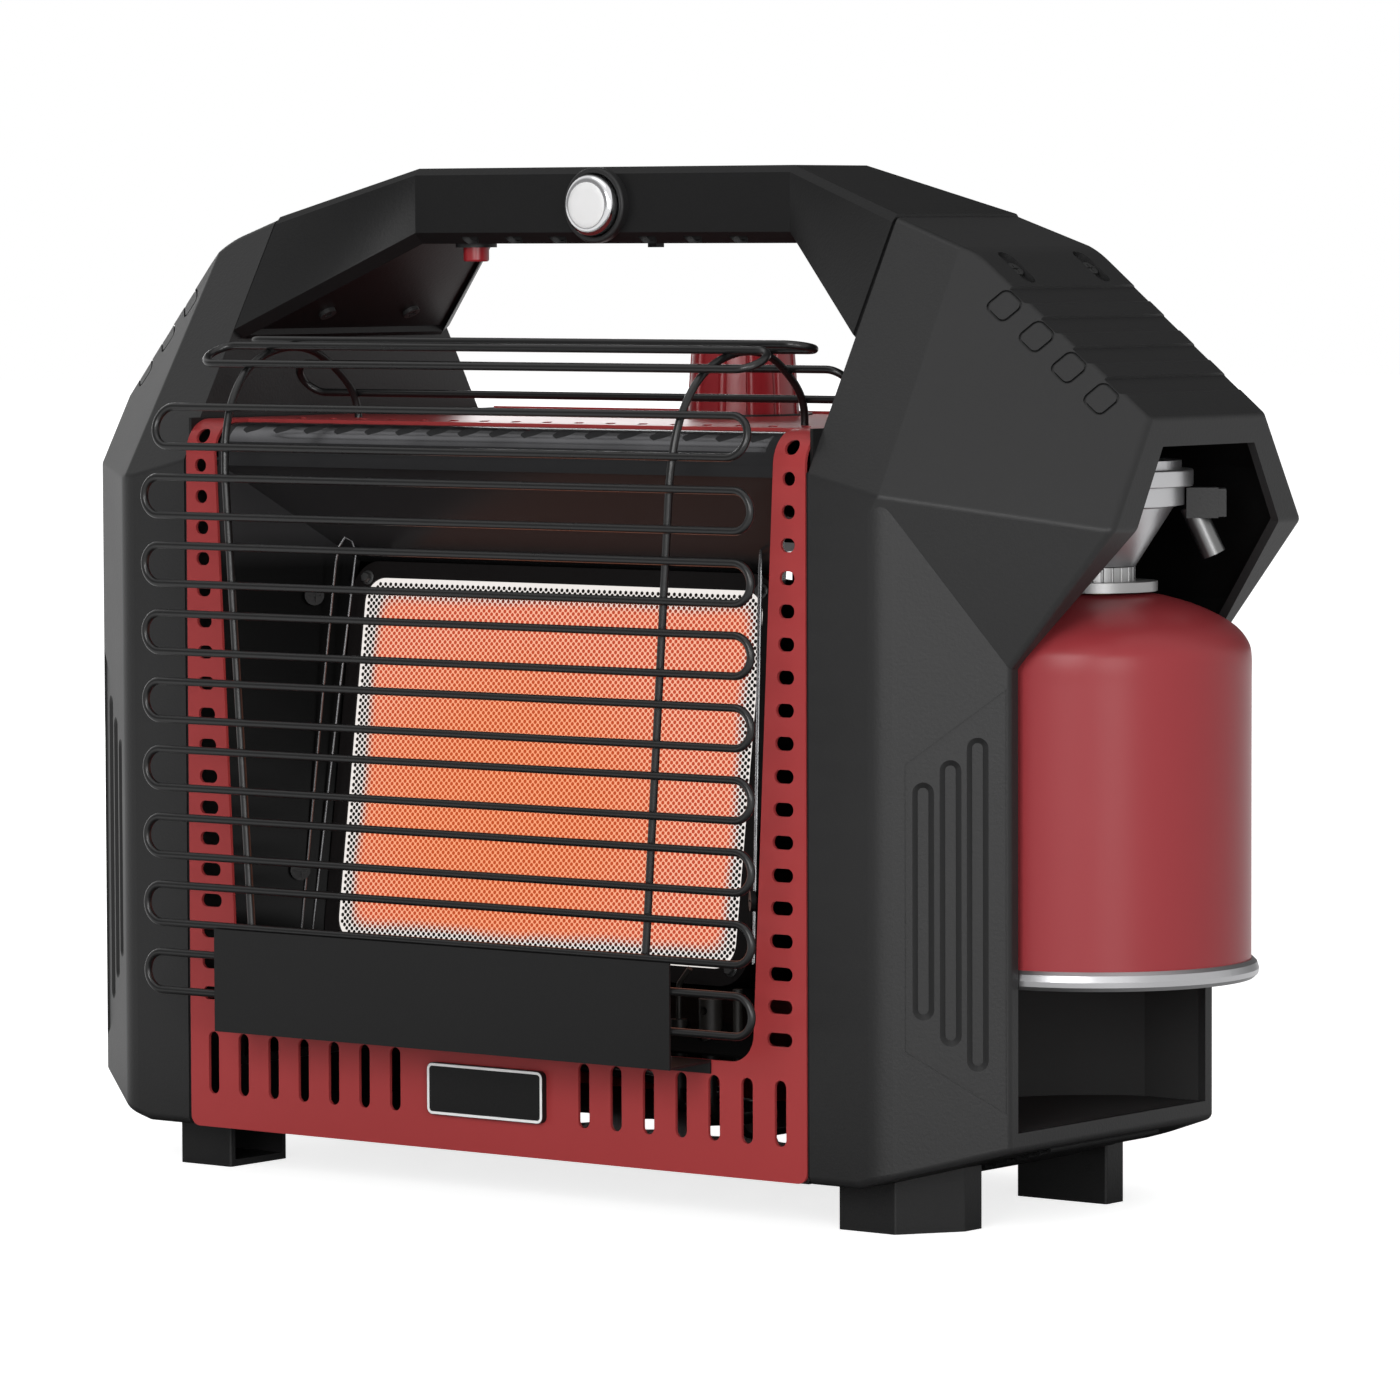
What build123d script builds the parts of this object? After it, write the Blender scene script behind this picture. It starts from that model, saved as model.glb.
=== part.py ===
from build123d import *
from math import atan2, cos, degrees, radians, sin, sqrt
import os

# Portable propane heater: red pressed-steel body with a tilted ceramic burner behind a wire guard, black
# end housings with a carrying handle, and a gas cartridge hanging in the right-hand bay.
# All values in mm.  X runs to the right, Y to the back, Z up; the origin is on the ground, midway
# between the feet.

os.makedirs("parts", exist_ok=True)

# ---- driving dimensions -------------------------------------------------------------------------
SHEET = 1.2            # steel sheet of the body
WALL = 3.0             # plastic wall of the housings and handle
PANEL_X = 141.2        # half width of the red body
SEAM_X = PANEL_X + SHEET   # inner face of both end housings
END_X = 207.5          # outer face of both end housings
HOOD_X = 247.0         # outer face of the hood over the cartridge valve
FACE_Y = 89.0          # front (-) and back (+) faces
SIDE_Y = 62.0          # half depth of the end faces
FLANK_X = 172.0        # where the housings' fronts turn into their flanks
FLANK_R = 14.0         # radius of that corner
BASE_Z = 17.7          # underside of the body
RISE = (163.0, 30.3)   # x where the housings' undersides start to rise, and z that they reach outside
DECK_Z = 276.5         # top of the red deck
BEND_R = 12.5          # outer radius of the bend between front panel and deck
CREASE_Z = 264.0       # height where the housing fronts start to lean back, at the seam
CREASE_END = 254.5     # the same at the flanks
TOP_Z = 348.9          # top of the housings at the handle seam
TOP_Y = 37.0           # half depth of the housings at that height
BAR_Z = (340.0, 367.5)  # underside and top of the handle bar
BAR_X = 86.0           # half length of the straight part of the handle bar
BAR_Y = 24.0           # half depth of the handle bar
SCREW_R = 1.5          # shank of every screw
FOOT_SCREW = (156.0, 54.0)  # axis of a foot's screw
CAN_X = 199.7          # vertical axis of regulator and cartridge
CAN_R = 54.2           # cartridge radius
CAN_WALL = 1.3         # steel wall of the cartridge
BAY_Y = 57.2           # half width of the cartridge bay
BAY_R = 60.0           # radius of the round back wall of the bay
FLOOR_Z = 37.0         # floor of the bay
WIRE = 2.8             # guard wire
RING_Y = -115.5        # plane of the guard's front rings
ARCH_X = (87.5, 102.4)  # half spacing of the guard's arches at their feet and at the deck
PITCH = 14.44          # pitch of the slots
KNOB_Y = 61.0          # axis of the control knob
BUTTON_Z = (BAR_Z[0] + BAR_Z[1]) / 2   # axis of the igniter button
STROKE = 3.0           # stroke of the igniter button
STUD = (-70.3, -8.0)   # axis of the button under the handle
STUD_R = 4.7           # and its radius


def facet(a, b, c, inside):
    """Plane through three points whose normal points away from the point inside."""
    a, b, c = Vector(*a), Vector(*b), Vector(*c)
    normal = (b - a).cross(c - a).normalized()
    if normal.dot(Vector(*inside) - a) > 0:
        normal = normal * -1
    return Plane(origin=a, z_dir=normal)


def block(planes, inset=0.0):
    """Convex solid bounded by the planes, each moved inwards by inset."""
    with BuildPart(mode=Mode.PRIVATE) as solid:
        Box(1200, 1200, 1200)
        for p in planes:
            split(bisect_by=p.offset(-inset), keep=Keep.BOTTOM)
    return solid.part


def run(points, bend=0.0, smooth=False):
    """Wire through the points: straight, with rounded corners of radius bend, or smooth."""
    with BuildLine(mode=Mode.PRIVATE) as line:
        if smooth:
            Spline(*points)
        elif bend:
            FilletPolyline(*points, radius=bend)
        else:
            Polyline(*points)
    return line.wires()[0]


def rod(path, radius, bore=0.0):
    """Round bar, or tube when it has a bore, along a path."""
    with BuildPart(mode=Mode.PRIVATE) as bar:
        with BuildSketch(Plane(origin=path @ 0, z_dir=path % 0)):
            Circle(radius)
            if bore:
                Circle(bore, mode=Mode.SUBTRACT)
        sweep(path=path, transition=Transition.ROUND)
    return bar.part


def disc(x, y, z0, z1, radius):
    """Upright cylinder from z0 to z1."""
    with BuildPart(mode=Mode.PRIVATE) as cyl:
        with Locations((x, y, z0)):
            Cylinder(radius, z1 - z0, align=(Align.CENTER, Align.CENTER, Align.MIN))
    return cyl.part


def cuboid(x0, x1, y0, y1, z0, z1):
    """Box between two corners."""
    with BuildPart(mode=Mode.PRIVATE) as cub:
        with Locations(((x0 + x1) / 2, (y0 + y1) / 2, (z0 + z1) / 2)):
            Box(abs(x1 - x0), abs(y1 - y0), abs(z1 - z0))
    return cub.part


def spring(x, y, z, length, radius, wire, turns, axis):
    """Close wound helper: helical spring starting at the point, along the axis."""
    path = Wire([Edge.make_helix(length / turns, length, radius)])
    with BuildPart(mode=Mode.PRIVATE) as coil:
        with BuildSketch(Plane(origin=path @ 0, z_dir=path % 0)):
            Circle(wire / 2)
        sweep(path=path, is_frenet=True)
    return Plane(origin=(x, y, z), z_dir=axis) * coil.part


def slot_cut(length, width, x, z, upright, y0=-FACE_Y - 2, y1=-FACE_Y + 6):
    """Round-ended slot cut through the front sheet."""
    with BuildPart(mode=Mode.PRIVATE) as tool:
        with BuildSketch(Plane.XZ.offset(-y1)):
            with Locations((x, z)):
                SlotOverall(length, width, rotation=90 if upright else 0)
        extrude(amount=y1 - y0)
    return tool.part


# ---- end housings ---------------------------------------------------------------------------------


def housing_planes(side, knee, ramp_end):
    """Planes shared by both housings; knee and ramp_end are (x, z) of the top slope's ends."""
    mid = (side * (SEAM_X + 20), 0, 150)
    sx = side * SEAM_X
    ex = side * END_X
    planes = [
        facet((sx, 0, 0), (sx, 1, 0), (sx, 0, 1), mid),
        facet((0, 0, BASE_Z), (1, 0, BASE_Z), (0, 1, BASE_Z), mid),
        facet((sx, 0, TOP_Z), (sx, 1, TOP_Z), (side * knee[0], 0, knee[1]), mid),
        facet((side * knee[0], 0, knee[1]), (side * knee[0], 1, knee[1]),
              (side * ramp_end[0], 0, ramp_end[1]), mid),
    ]
    for y in (-1, 1):
        planes += [
            facet((0, y * FACE_Y, 0), (1, y * FACE_Y, 0), (0, y * FACE_Y, 1), mid),
            facet((sx, y * TOP_Y, TOP_Z), (sx, y * (FACE_Y - 1.4), CREASE_Z),
                  (side * FLANK_X, y * FACE_Y, CREASE_END), mid),
        ]
    column = [
        facet((ex, 0, 0), (ex, 1, 0), (ex, 0, 1), mid),
        facet((ex, 0, RISE[1]), (ex, 1, RISE[1]), (side * RISE[0], 0, BASE_Z), mid),
    ]
    for y in (-1, 1):
        column += [
            facet((side * FLANK_X, y * FACE_Y, 0), (ex, y * SIDE_Y, 0), (ex, y * SIDE_Y, 1), mid),
        ]
    return planes, column


EDGE_R = 3.0           # radius of the housings' other edges
KNEE_R = 30.0          # radius where the top slope turns into the ramp
STEP = 16.35           # pitch of the ramp's steps
STEP_DEEP = 1.1        # and their depth


def ramp_grooves(foot, head, start, count):
    """Shallow steps across the ramp that rises from foot to head, both (x, z)."""
    length = sqrt((head[0] - foot[0]) ** 2 + (head[1] - foot[1]) ** 2)
    ux, uz = (foot[0] - head[0]) / length, (foot[1] - head[1]) / length
    nx, nz = (-uz, ux) if (-uz) * (1 if foot[0] > 0 else -1) > 0 else (uz, -ux)
    with BuildPart(mode=Mode.PRIVATE) as tool:
        for i in range(count):
            t = start + STEP * i
            pts = [(t, 0.5), (t + 0.4, -STEP_DEEP), (t + 8.0, -STEP_DEEP), (t + 10.5, 0.5)]
            with BuildSketch(Plane.XZ.offset(-120)):
                Polygon(*[(head[0] + ux * a + nx * b, head[1] + uz * a + nz * b) for a, b in pts],
                        align=None)
            extrude(amount=240)
    return tool.part


def along(edge, axis):
    """Whether a straight edge runs along an axis."""
    return abs((edge @ 1 - edge @ 0).normalized().dot(axis)) > 0.99


def soften(part, keep_x, knee):
    """Round a housing block: wide at its corners and knee, narrow elsewhere, sharp on the seam face."""
    corners = [e for e in part.edges() if along(e, Vector(0, 0, 1))
               and abs(abs((e @ 0.5).X) - FLANK_X) < 1 and abs(abs((e @ 0.5).Y) - FACE_Y) < 1]
    if corners:
        part = part.fillet(FLANK_R, corners)
    part = part.fillet(KNEE_R, [e for e in part.edges() if along(e, Vector(0, 1, 0))
                                and abs(abs((e @ 0.5).X) - knee[0]) < 1 and abs((e @ 0.5).Z - knee[1]) < 1])
    bounds = [(f, f.edges()) for f in part.faces()]
    sharp = []
    for e in part.edges():
        spot = e @ 0.5
        normals = [f.normal_at(spot) for f, rim in bounds if any(e.is_same(o) for o in rim)]
        if abs(spot.X - keep_x) > 0.5 and normals[0].get_angle(normals[1]) > 5:
            sharp.append(e)
    return part.fillet(EDGE_R, sharp)


R_KNEE, R_END = (176.0, 337.0), (HOOD_X, 280.8)
L_KNEE, L_END = (167.5, 340.0), (END_X, 283.0)

right_planes, right_column = housing_planes(1, R_KNEE, R_END)
left_planes, left_column = housing_planes(-1, L_KNEE, L_END)
inside_right, inside_left = (160, 0, 230), (-160, 0, 230)
BROW_Z = 243.4         # lower edge of the hood's end face
BROW_Y = 58.0          # half width of the hood there
hood_only = [
    facet((HOOD_X, 0, 0), (HOOD_X, 1, 0), (HOOD_X, 0, 1), inside_right),
    facet((HOOD_X, 0, BROW_Z), (HOOD_X, 1, BROW_Z), (END_X, 0, 195.6), inside_right),
]
upper_right, upper_left = [], []
for y in (-1, 1):
    upper_right.append(facet((R_KNEE[0], y * 37.3, R_KNEE[1]), (FLANK_X, y * FACE_Y, CREASE_END),
                             (HOOD_X, y * BROW_Y, BROW_Z), inside_right))
    upper_left.append(facet((-L_KNEE[0], y * 38.5, L_KNEE[1]), (-FLANK_X, y * FACE_Y, CREASE_END),
                            (-L_END[0], y * 47, L_END[1]), inside_left))
    hood_only.append(facet((FLANK_X, y * FACE_Y, CREASE_END), (HOOD_X, y * BROW_Y, BROW_Z),
                           (END_X, y * SIDE_Y, 195.6), inside_right))

# The bay is a deep box open to the right with a round back wall; its mouth narrows under the hood.
MOUTH = [(-BAY_Y, FLOOR_Z), (BAY_Y, FLOOR_Z), (BAY_Y, 199), (43.5, 243.4), (28, 271), (-28, 271),
         (-43.5, 243.4), (-BAY_Y, 199)]
ROOM = [(-BAY_Y, FLOOR_Z), (BAY_Y, FLOOR_Z), (BAY_Y, 215), (48, 243.4), (42, 262), (31, 273), (-31, 273),
        (-42, 262), (-48, 243.4), (-BAY_Y, 215)]
LINER = 1.6


def bay_room(grow):
    """Clear space of the bay, or its outside when grown by the liner's thickness."""
    with BuildPart(mode=Mode.PRIVATE) as room:
        with BuildSketch(Plane.YZ.offset(CAN_X - BAY_R - 5)):
            Polygon(*ROOM, align=None)
            if grow:
                offset(amount=grow)
        extrude(amount=200)
        with BuildSketch(Plane.XY):
            with Locations((CAN_X, 0)):
                Circle(BAY_R + grow)
            with Locations((CAN_X + 50, 0)):
                Rectangle(100, 2 * BAY_R + 10)
        extrude(amount=400, mode=Mode.INTERSECT)
    return room.part


def face_frame(plane, point, along):
    """Plane on a facet, centred below the point, with its x direction along the given one."""
    point = Vector(*point)
    normal = plane.z_dir
    point = point - normal * (point - plane.origin).dot(normal)
    along = Vector(*along)
    along = (along - normal * along.dot(normal)).normalized()
    return Plane(origin=point, x_dir=along, z_dir=normal)


def relief(side, knee, ramp_end, first_notch, notches, shoulder):
    """Everything pressed into the outside of a housing: notches, screw slots, side panels, grooves."""
    ux, uz = ramp_end[0] - knee[0], ramp_end[1] - knee[1]
    length = sqrt(ux * ux + uz * uz)
    ux, uz = ux / length, uz / length
    ramp = facet((side * knee[0], 0, knee[1]), (side * knee[0], 1, knee[1]),
                 (side * ramp_end[0], 0, ramp_end[1]), (side * 150, 0, 200))
    with BuildPart(mode=Mode.PRIVATE) as tool:
        for y in (-1, 1):
            flank = facet((side * FLANK_X, y * FACE_Y, 0), (side * END_X, y * SIDE_Y, 0),
                          (side * END_X, y * SIDE_Y, 1), (side * 150, 0, 100))
            # oblong screw recess on the ramp
            at = (side * (knee[0] + 8.5 * ux), y * 22.5, knee[1] + 8.5 * uz)
            with BuildSketch(face_frame(ramp, at, (side * ux, 0, uz))):
                SlotOverall(17.5, 7.0)
            extrude(amount=2.2, both=True)
            with BuildSketch(face_frame(ramp, at, (side * ux, 0, uz))):
                Circle(SCREW_R + 0.05)
            extrude(amount=6, both=True)
            # square outlines along the edge of the ramp, each a narrow groove
            for i in range(notches):
                at = (side * (first_notch[0] + 16.8 * i * ux), y * (first_notch[1] - 0.3 * i),
                      first_notch[2] + 16.8 * i * uz)
                with BuildSketch(face_frame(shoulder[0 if y < 0 else 1], at, (side * ux, 0, uz))):
                    RectangleRounded(10.0, 10.8, 3.0)
                    RectangleRounded(8.2, 9.0, 2.1, mode=Mode.SUBTRACT)
                extrude(amount=1.2, both=True)
            # shallow side panel with three upright grooves whose sides slope
            level = face_frame(flank, (side * 192, y * 75, 0),
                               (side * (END_X - FLANK_X), y * (SIDE_Y - FACE_Y), 0))
            flip = 1 if level.y_dir.Z > 0 else -1
            with BuildSketch(level):
                Polygon((-15.5, flip * 65.5), (19.0, flip * 44), (19.0, flip * 189), (-15.5, flip * 163.5),
                        align=None)
            extrude(amount=0.7, both=True)
            for across, low, high in ((-9.2, 76.2, 157.4), (0.1, 67.3, 165.0), (9.3, 58.7, 172.6)):
                with BuildSketch(level.offset(-0.7)):
                    with Locations((across, flip * (low + high) / 2)):
                        SlotOverall(high - low, 7.4, rotation=90)
                extrude(amount=-1.6, taper=50)
    return tool.part


bay_window = bay_room(LINER + 0.2) & cuboid(130, SEAM_X + WALL + 1, -BAY_Y, BAY_Y, 20, 290)
right_outer = (soften(block(right_planes + upper_right + right_column), SEAM_X, R_KNEE)
               + soften(block(right_planes + upper_right + hood_only), SEAM_X, R_KNEE))
right_inner = (block(right_planes + upper_right + right_column, WALL)
               + block(right_planes + upper_right + hood_only, WALL))
left_outer = soften(block(left_planes + upper_left + left_column), -SEAM_X, L_KNEE)
left_inner = block(left_planes + upper_left + left_column, WALL)

with BuildPart() as right_housing:
    add(right_outer)
    add(right_inner, mode=Mode.SUBTRACT)
    # mouth of the bay
    with BuildSketch(Plane.YZ.offset(END_X - 12)):
        Polygon(*MOUTH, align=None)
    extrude(amount=80, mode=Mode.SUBTRACT)
    # window in the inner wall behind the bay
    add(bay_window, mode=Mode.SUBTRACT)
    for y in (-FOOT_SCREW[1], FOOT_SCREW[1]):
        add(disc(FOOT_SCREW[0], y, BASE_Z - 1, BASE_Z + WALL + 1, SCREW_R + 0.05), mode=Mode.SUBTRACT)
    add(ramp_grooves(R_END, R_KNEE, 18.9, 4), mode=Mode.SUBTRACT)
    add(relief(1, R_KNEE, R_END, (190.5, 41.0, 318.5), 4, upper_right), mode=Mode.SUBTRACT)

with BuildPart() as left_housing:
    add(left_outer)
    add(left_inner, mode=Mode.SUBTRACT)
    add(cuboid(-146, -130, -58, 58, 40, 250), mode=Mode.SUBTRACT)
    add(ramp_grooves((-L_END[0], L_END[1]), (-L_KNEE[0], L_KNEE[1]), 20.0, 3), mode=Mode.SUBTRACT)
    add(relief(-1, L_KNEE, L_END, (177.0, 45.0, 318.0), 3, upper_left), mode=Mode.SUBTRACT)
    # hole for the ignition lead
    add(rod(run([(-150, 8, 322), (-135, 8, 322)]), 3.0), mode=Mode.SUBTRACT)
    for y in (-FOOT_SCREW[1], FOOT_SCREW[1]):
        add(disc(-FOOT_SCREW[0], y, BASE_Z - 1, BASE_Z + WALL + 1, SCREW_R + 0.05), mode=Mode.SUBTRACT)

with BuildPart() as bay_liner:
    add(bay_room(LINER))
    add(right_inner + cuboid(120, SEAM_X + WALL, -FACE_Y, FACE_Y, 20, 280), mode=Mode.INTERSECT)
    add(bay_room(0), mode=Mode.SUBTRACT)
    # gas inlet
    add(rod(run([(120, 0, 250), (150, 0, 250)]), 3.6), mode=Mode.SUBTRACT)

GUARD_SCREW = (29.0, 55.2)                        # x and z of the screws below the guard plate

# ---- red body -----------------------------------------------------------------------------------------
OPEN_Z = 58.0          # lower edge of the burner opening


def opening_half(z):
    """Half width of the trapezoid opening at height z."""
    return 118.0 + (min(z, CREASE_Z) - 62.0) * 9.5 / (CREASE_Z - 62.0)


with BuildPart() as front_panel:
    with BuildSketch(Plane.YZ.offset(-PANEL_X)):
        with BuildLine():
            outer = Polyline((-FACE_Y, BASE_Z), (-FACE_Y, DECK_Z - BEND_R))
            bend = RadiusArc(outer @ 1, (-FACE_Y + BEND_R, DECK_Z), BEND_R)
            top = Line(bend @ 1, (FACE_Y - SHEET, DECK_Z))
            rear = Line(top @ 1, (FACE_Y - SHEET, DECK_Z - SHEET))
            under = Line(rear @ 1, (-FACE_Y + BEND_R, DECK_Z - SHEET))
            inner = RadiusArc(under @ 1, (-FACE_Y + SHEET, DECK_Z - BEND_R), -(BEND_R - SHEET))
            down = Line(inner @ 1, (-FACE_Y + SHEET, BASE_Z))
            Line(down @ 1, outer @ 0)
        make_face()
    extrude(amount=2 * PANEL_X)
    fillet([e for e in edges().filter_by(Axis.Y) if (e @ 0).Z < BASE_Z + 1], 4.0)
    # burner opening: front face, bend and front of the deck
    with BuildSketch(Plane.XZ.offset(FACE_Y + 5)):
        Polygon((-118, OPEN_Z), (118, OPEN_Z), (127.5, CREASE_Z), (127.5, 300), (-127.5, 300),
                (-127.5, CREASE_Z), align=None)
        fillet([v for v in vertices() if v.Z < OPEN_Z + 1], 10)
    extrude(amount=-(FACE_Y + 5 - 70), mode=Mode.SUBTRACT)
    # side holes, wider towards the bottom
    for i in range(18):
        z = 66.9 + 11.35 * i
        x = (PANEL_X + opening_half(z)) / 2
        width = 10.8 - 5.4 * i / 17
        for side in (-1, 1):
            add(slot_cut(width, 4.8, side * x, z, False), mode=Mode.SUBTRACT)
    for side in (-1, 1):
        # slot in the bend
        add(slot_cut(6.0, 5.0, side * 134.4, DECK_Z - 6.0, False, -FACE_Y - 2, -FACE_Y + 9),
            mode=Mode.SUBTRACT)
        # upright slots either side of the badge, and a screw hole for the guard
        add(rod(run([(side * GUARD_SCREW[0], -FACE_Y - 2, GUARD_SCREW[1]),
                     (side * GUARD_SCREW[0], -FACE_Y + 2, GUARD_SCREW[1])]), SCREW_R + 0.05),
            mode=Mode.SUBTRACT)
        for i in range(7):
            add(slot_cut(22.9, 5.0, side * (3 + i) * PITCH, 41.4, True), mode=Mode.SUBTRACT)
    # slanted vents behind the opening, guard sockets and the hole for the knob's dish
    with BuildSketch(Plane.XY.offset(DECK_Z + 1)):
        for i in range(-8, 9):
            with Locations((i * PITCH, -54)):
                SlotOverall(16, 3.2, rotation=125)
        for x in (-ARCH_X[1], ARCH_X[1]):
            with Locations((x, -37.6)):
                Circle(WIRE / 2 + 0.2)
        with Locations((0, KNOB_Y)):
            Circle(24.0)
    extrude(amount=-4, mode=Mode.SUBTRACT)

REAR_SCREWS = (36.0, 147.0, 258.0)                # heights of the rear panel's screws
REAR_SCREW_X = PANEL_X - 6.5

with BuildPart() as rear_panel:
    add(cuboid(-PANEL_X, PANEL_X, FACE_Y - SHEET, FACE_Y, BASE_Z, DECK_Z + 1))
    for row in range(5):
        for i in range(-8, 9):
            with BuildSketch(Plane.XZ.offset(-FACE_Y - 2)):
                with Locations((i * PITCH, 70 + 38 * row)):
                    SlotOverall(26, 4.4, rotation=90)
            extrude(amount=6, mode=Mode.SUBTRACT)
    for side in (-1, 1):
        for z in REAR_SCREWS:
            add(rod(run([(side * REAR_SCREW_X, FACE_Y - 5, z), (side * REAR_SCREW_X, FACE_Y + 5, z)]),
                    SCREW_R + 0.05), mode=Mode.SUBTRACT)

with BuildPart() as base_plate:
    add(cuboid(-PANEL_X, PANEL_X, -FACE_Y + SHEET, FACE_Y - SHEET, BASE_Z, BASE_Z + SHEET))
    # slanted air slots in two rows
    with BuildSketch(Plane.XY.offset(BASE_Z + 5)):
        with GridLocations(33.5, 52, 7, 2):
            with Locations((-3.5, -19)):
                SlotOverall(40, 13, rotation=130)
    extrude(amount=-8, mode=Mode.SUBTRACT)

side_plates = {}
for side, name in ((-1, "left_side_plate"), (1, "right_side_plate")):
    with BuildPart() as plate:
        x0, x1 = sorted((side * PANEL_X, side * SEAM_X))
        add(cuboid(x0, x1, -FACE_Y + 3, FACE_Y, BASE_Z, DECK_Z + 0.5))
        if side > 0:
            add(bay_window, mode=Mode.SUBTRACT)
        else:
            add(cuboid(x0 - 1, x1 + 1, -62, 62, FLOOR_Z, 268), mode=Mode.SUBTRACT)
        # flange behind the rear panel
        add(cuboid(side * (PANEL_X - 13), side * PANEL_X, FACE_Y - 2 * SHEET, FACE_Y - SHEET, 25, 270))
        for z in REAR_SCREWS:
            add(rod(run([(side * REAR_SCREW_X, FACE_Y - 5, z), (side * REAR_SCREW_X, FACE_Y + 5, z)]),
                    SCREW_R + 0.05), mode=Mode.SUBTRACT)
    side_plates[name] = plate

with BuildPart() as name_plate:
    add(cuboid(-26.5, 26.5, -FACE_Y - 2.4, -FACE_Y, 30.3, 48.9))
    fillet(edges().filter_by(Axis.Y), 2.5)

# ---- feet: boxes open towards the middle, outer front corner cut off -----------------------------------
FOOT = [(139.8, 69.0), (164.0, 69.0), (178.6, 48.0), (178.6, 37.6), (139.8, 37.6)]
feet = {}
for side, sname in ((-1, "left"), (1, "right")):
    for back, bname in ((-1, "front"), (1, "rear")):
        with BuildPart() as foot:
            with BuildSketch(Plane.XY):
                Polygon(*[(side * x, back * y) for x, y in FOOT], align=None)
            extrude(amount=BASE_Z + 8)
            fillet(edges().filter_by(Axis.Z), 1.0)
            add(right_outer if side > 0 else left_outer, mode=Mode.SUBTRACT)
            add(cuboid(side * 130, side * SEAM_X, -FACE_Y, FACE_Y, BASE_Z, BASE_Z + 9), mode=Mode.SUBTRACT)
            # hollow, open towards the middle
            with BuildSketch(Plane.XY.offset(2.5)):
                Polygon(*[(side * x, back * y) for x, y in FOOT], align=None)
                offset(amount=-2.5)
                with Locations((side * (FOOT[0][0] + 2), back * (FOOT[0][1] + FOOT[4][1]) / 2)):
                    Rectangle(8, FOOT[0][1] - FOOT[4][1] - 5)
            extrude(amount=BASE_Z - 5, mode=Mode.SUBTRACT)
            # screw hole through the top, reached through a wider one below
            at = (side * FOOT_SCREW[0], back * FOOT_SCREW[1])
            add(disc(*at, 10, BASE_Z + 9, SCREW_R + 0.05), mode=Mode.SUBTRACT)
            add(disc(*at, -1, 5, 4.2), mode=Mode.SUBTRACT)
        feet[f"foot_{bname}_{sname}"] = foot

# ---- handle: hollow bar and two flared arms, closed underneath by a cover ------------------------------
BAR_SECTION = [(-BAR_Y + 4, BAR_Z[0]), (BAR_Y - 4, BAR_Z[0]), (BAR_Y, BAR_Z[0] + 4), (BAR_Y, BAR_Z[1] - 2.5),
               (BAR_Y - 2.5, BAR_Z[1]), (-BAR_Y + 2.5, BAR_Z[1]), (-BAR_Y, BAR_Z[1] - 2.5),
               (-BAR_Y, BAR_Z[0] + 4)]
ARM_SECTION = [(-57.5, 304.8), (57.5, 304.8), (62.4, 308.2), (TOP_Y + 1.9, TOP_Z - 2.0),
               (TOP_Y - 1.0, TOP_Z + 0.8), (-TOP_Y + 1.0, TOP_Z + 0.8), (-TOP_Y - 1.9, TOP_Z - 2.0),
               (-62.4, 308.2)]
SHADOW = 1.0           # width of the shadow gap between arms and housings
BAR_ROOM = [(-17.5, BAR_Z[0] - 4), (17.5, BAR_Z[0] - 4), (21, BAR_Z[0] + 5.5), (21, BAR_Z[1] - WALL),
            (-21, BAR_Z[1] - WALL), (-21, BAR_Z[0] + 5.5)]
ARM_ROOM = [(-52, 299.5), (52, 299.5), (57.4, 310.5), (35.2, TOP_Z - WALL - 0.3), (-35.2, TOP_Z - WALL - 0.3),
            (-57.4, 310.5)]


def handle_body(bar, arm, end_x):
    """Bar between two lofted arms that run out to end_x."""
    with BuildPart(mode=Mode.PRIVATE) as body:
        with BuildSketch(Plane.YZ.offset(-BAR_X)):
            Polygon(*bar, align=None)
        extrude(amount=2 * BAR_X)
        for side in (-1, 1):
            with BuildSketch(Plane.YZ.offset(side * BAR_X)):
                Polygon(*bar, align=None)
            with BuildSketch(Plane.YZ.offset(side * end_x)):
                Polygon(*arm, align=None)
            loft()
    return body.part


handle_room = handle_body(BAR_ROOM, ARM_ROOM, SEAM_X - WALL)
with BuildPart() as handle_shell:
    add(handle_body(BAR_SECTION, ARM_SECTION, SEAM_X))
    add(handle_room, mode=Mode.SUBTRACT)
    # shadow gap at the housings
    for side in (-1, 1):
        with BuildSketch(Plane.YZ.offset(side * SEAM_X)):
            Rectangle(200, 800)
            with BuildSketch(mode=Mode.PRIVATE) as neck:
                Polygon(*ARM_SECTION, align=None)
                offset(amount=-1.2)
            add(neck.sketch, mode=Mode.SUBTRACT)
        extrude(amount=-side * SHADOW, mode=Mode.SUBTRACT)
    # bore for the igniter button
    add(rod(run([(0, -BAR_Y - 5, BUTTON_Z), (0, -BAR_Y + 6.5 + STROKE, BUTTON_Z)]), 12.2), mode=Mode.SUBTRACT)
    # finger scallops along the lower edges
    for i in (-3, -2, -1, 1, 2, 3):
        for y in (-1, 1):
            add(disc(i * 20.6, y * 23.5, BAR_Z[0] - 1, BAR_Z[0] + 2.6, 4.2), mode=Mode.SUBTRACT)
    # lead hole to the left housing
    add(rod(run([(-150, 8, 322), (-135, 8, 322)]), 3.0), mode=Mode.SUBTRACT)

ARM_SLOPE = atan2(32.4, 53.0)
ARM_SCREW = (129.0, 24.0)                         # x and y of the screws in the arms


def arm_point(side, x, y, lift):
    """Point on the underside of an arm's cover, lift above it along its normal."""
    z = 341.3 - (x - BAR_X) * 32.4 / 53.0
    return (side * (x + lift * sin(ARM_SLOPE)), y, z + lift * cos(ARM_SLOPE))


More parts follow.
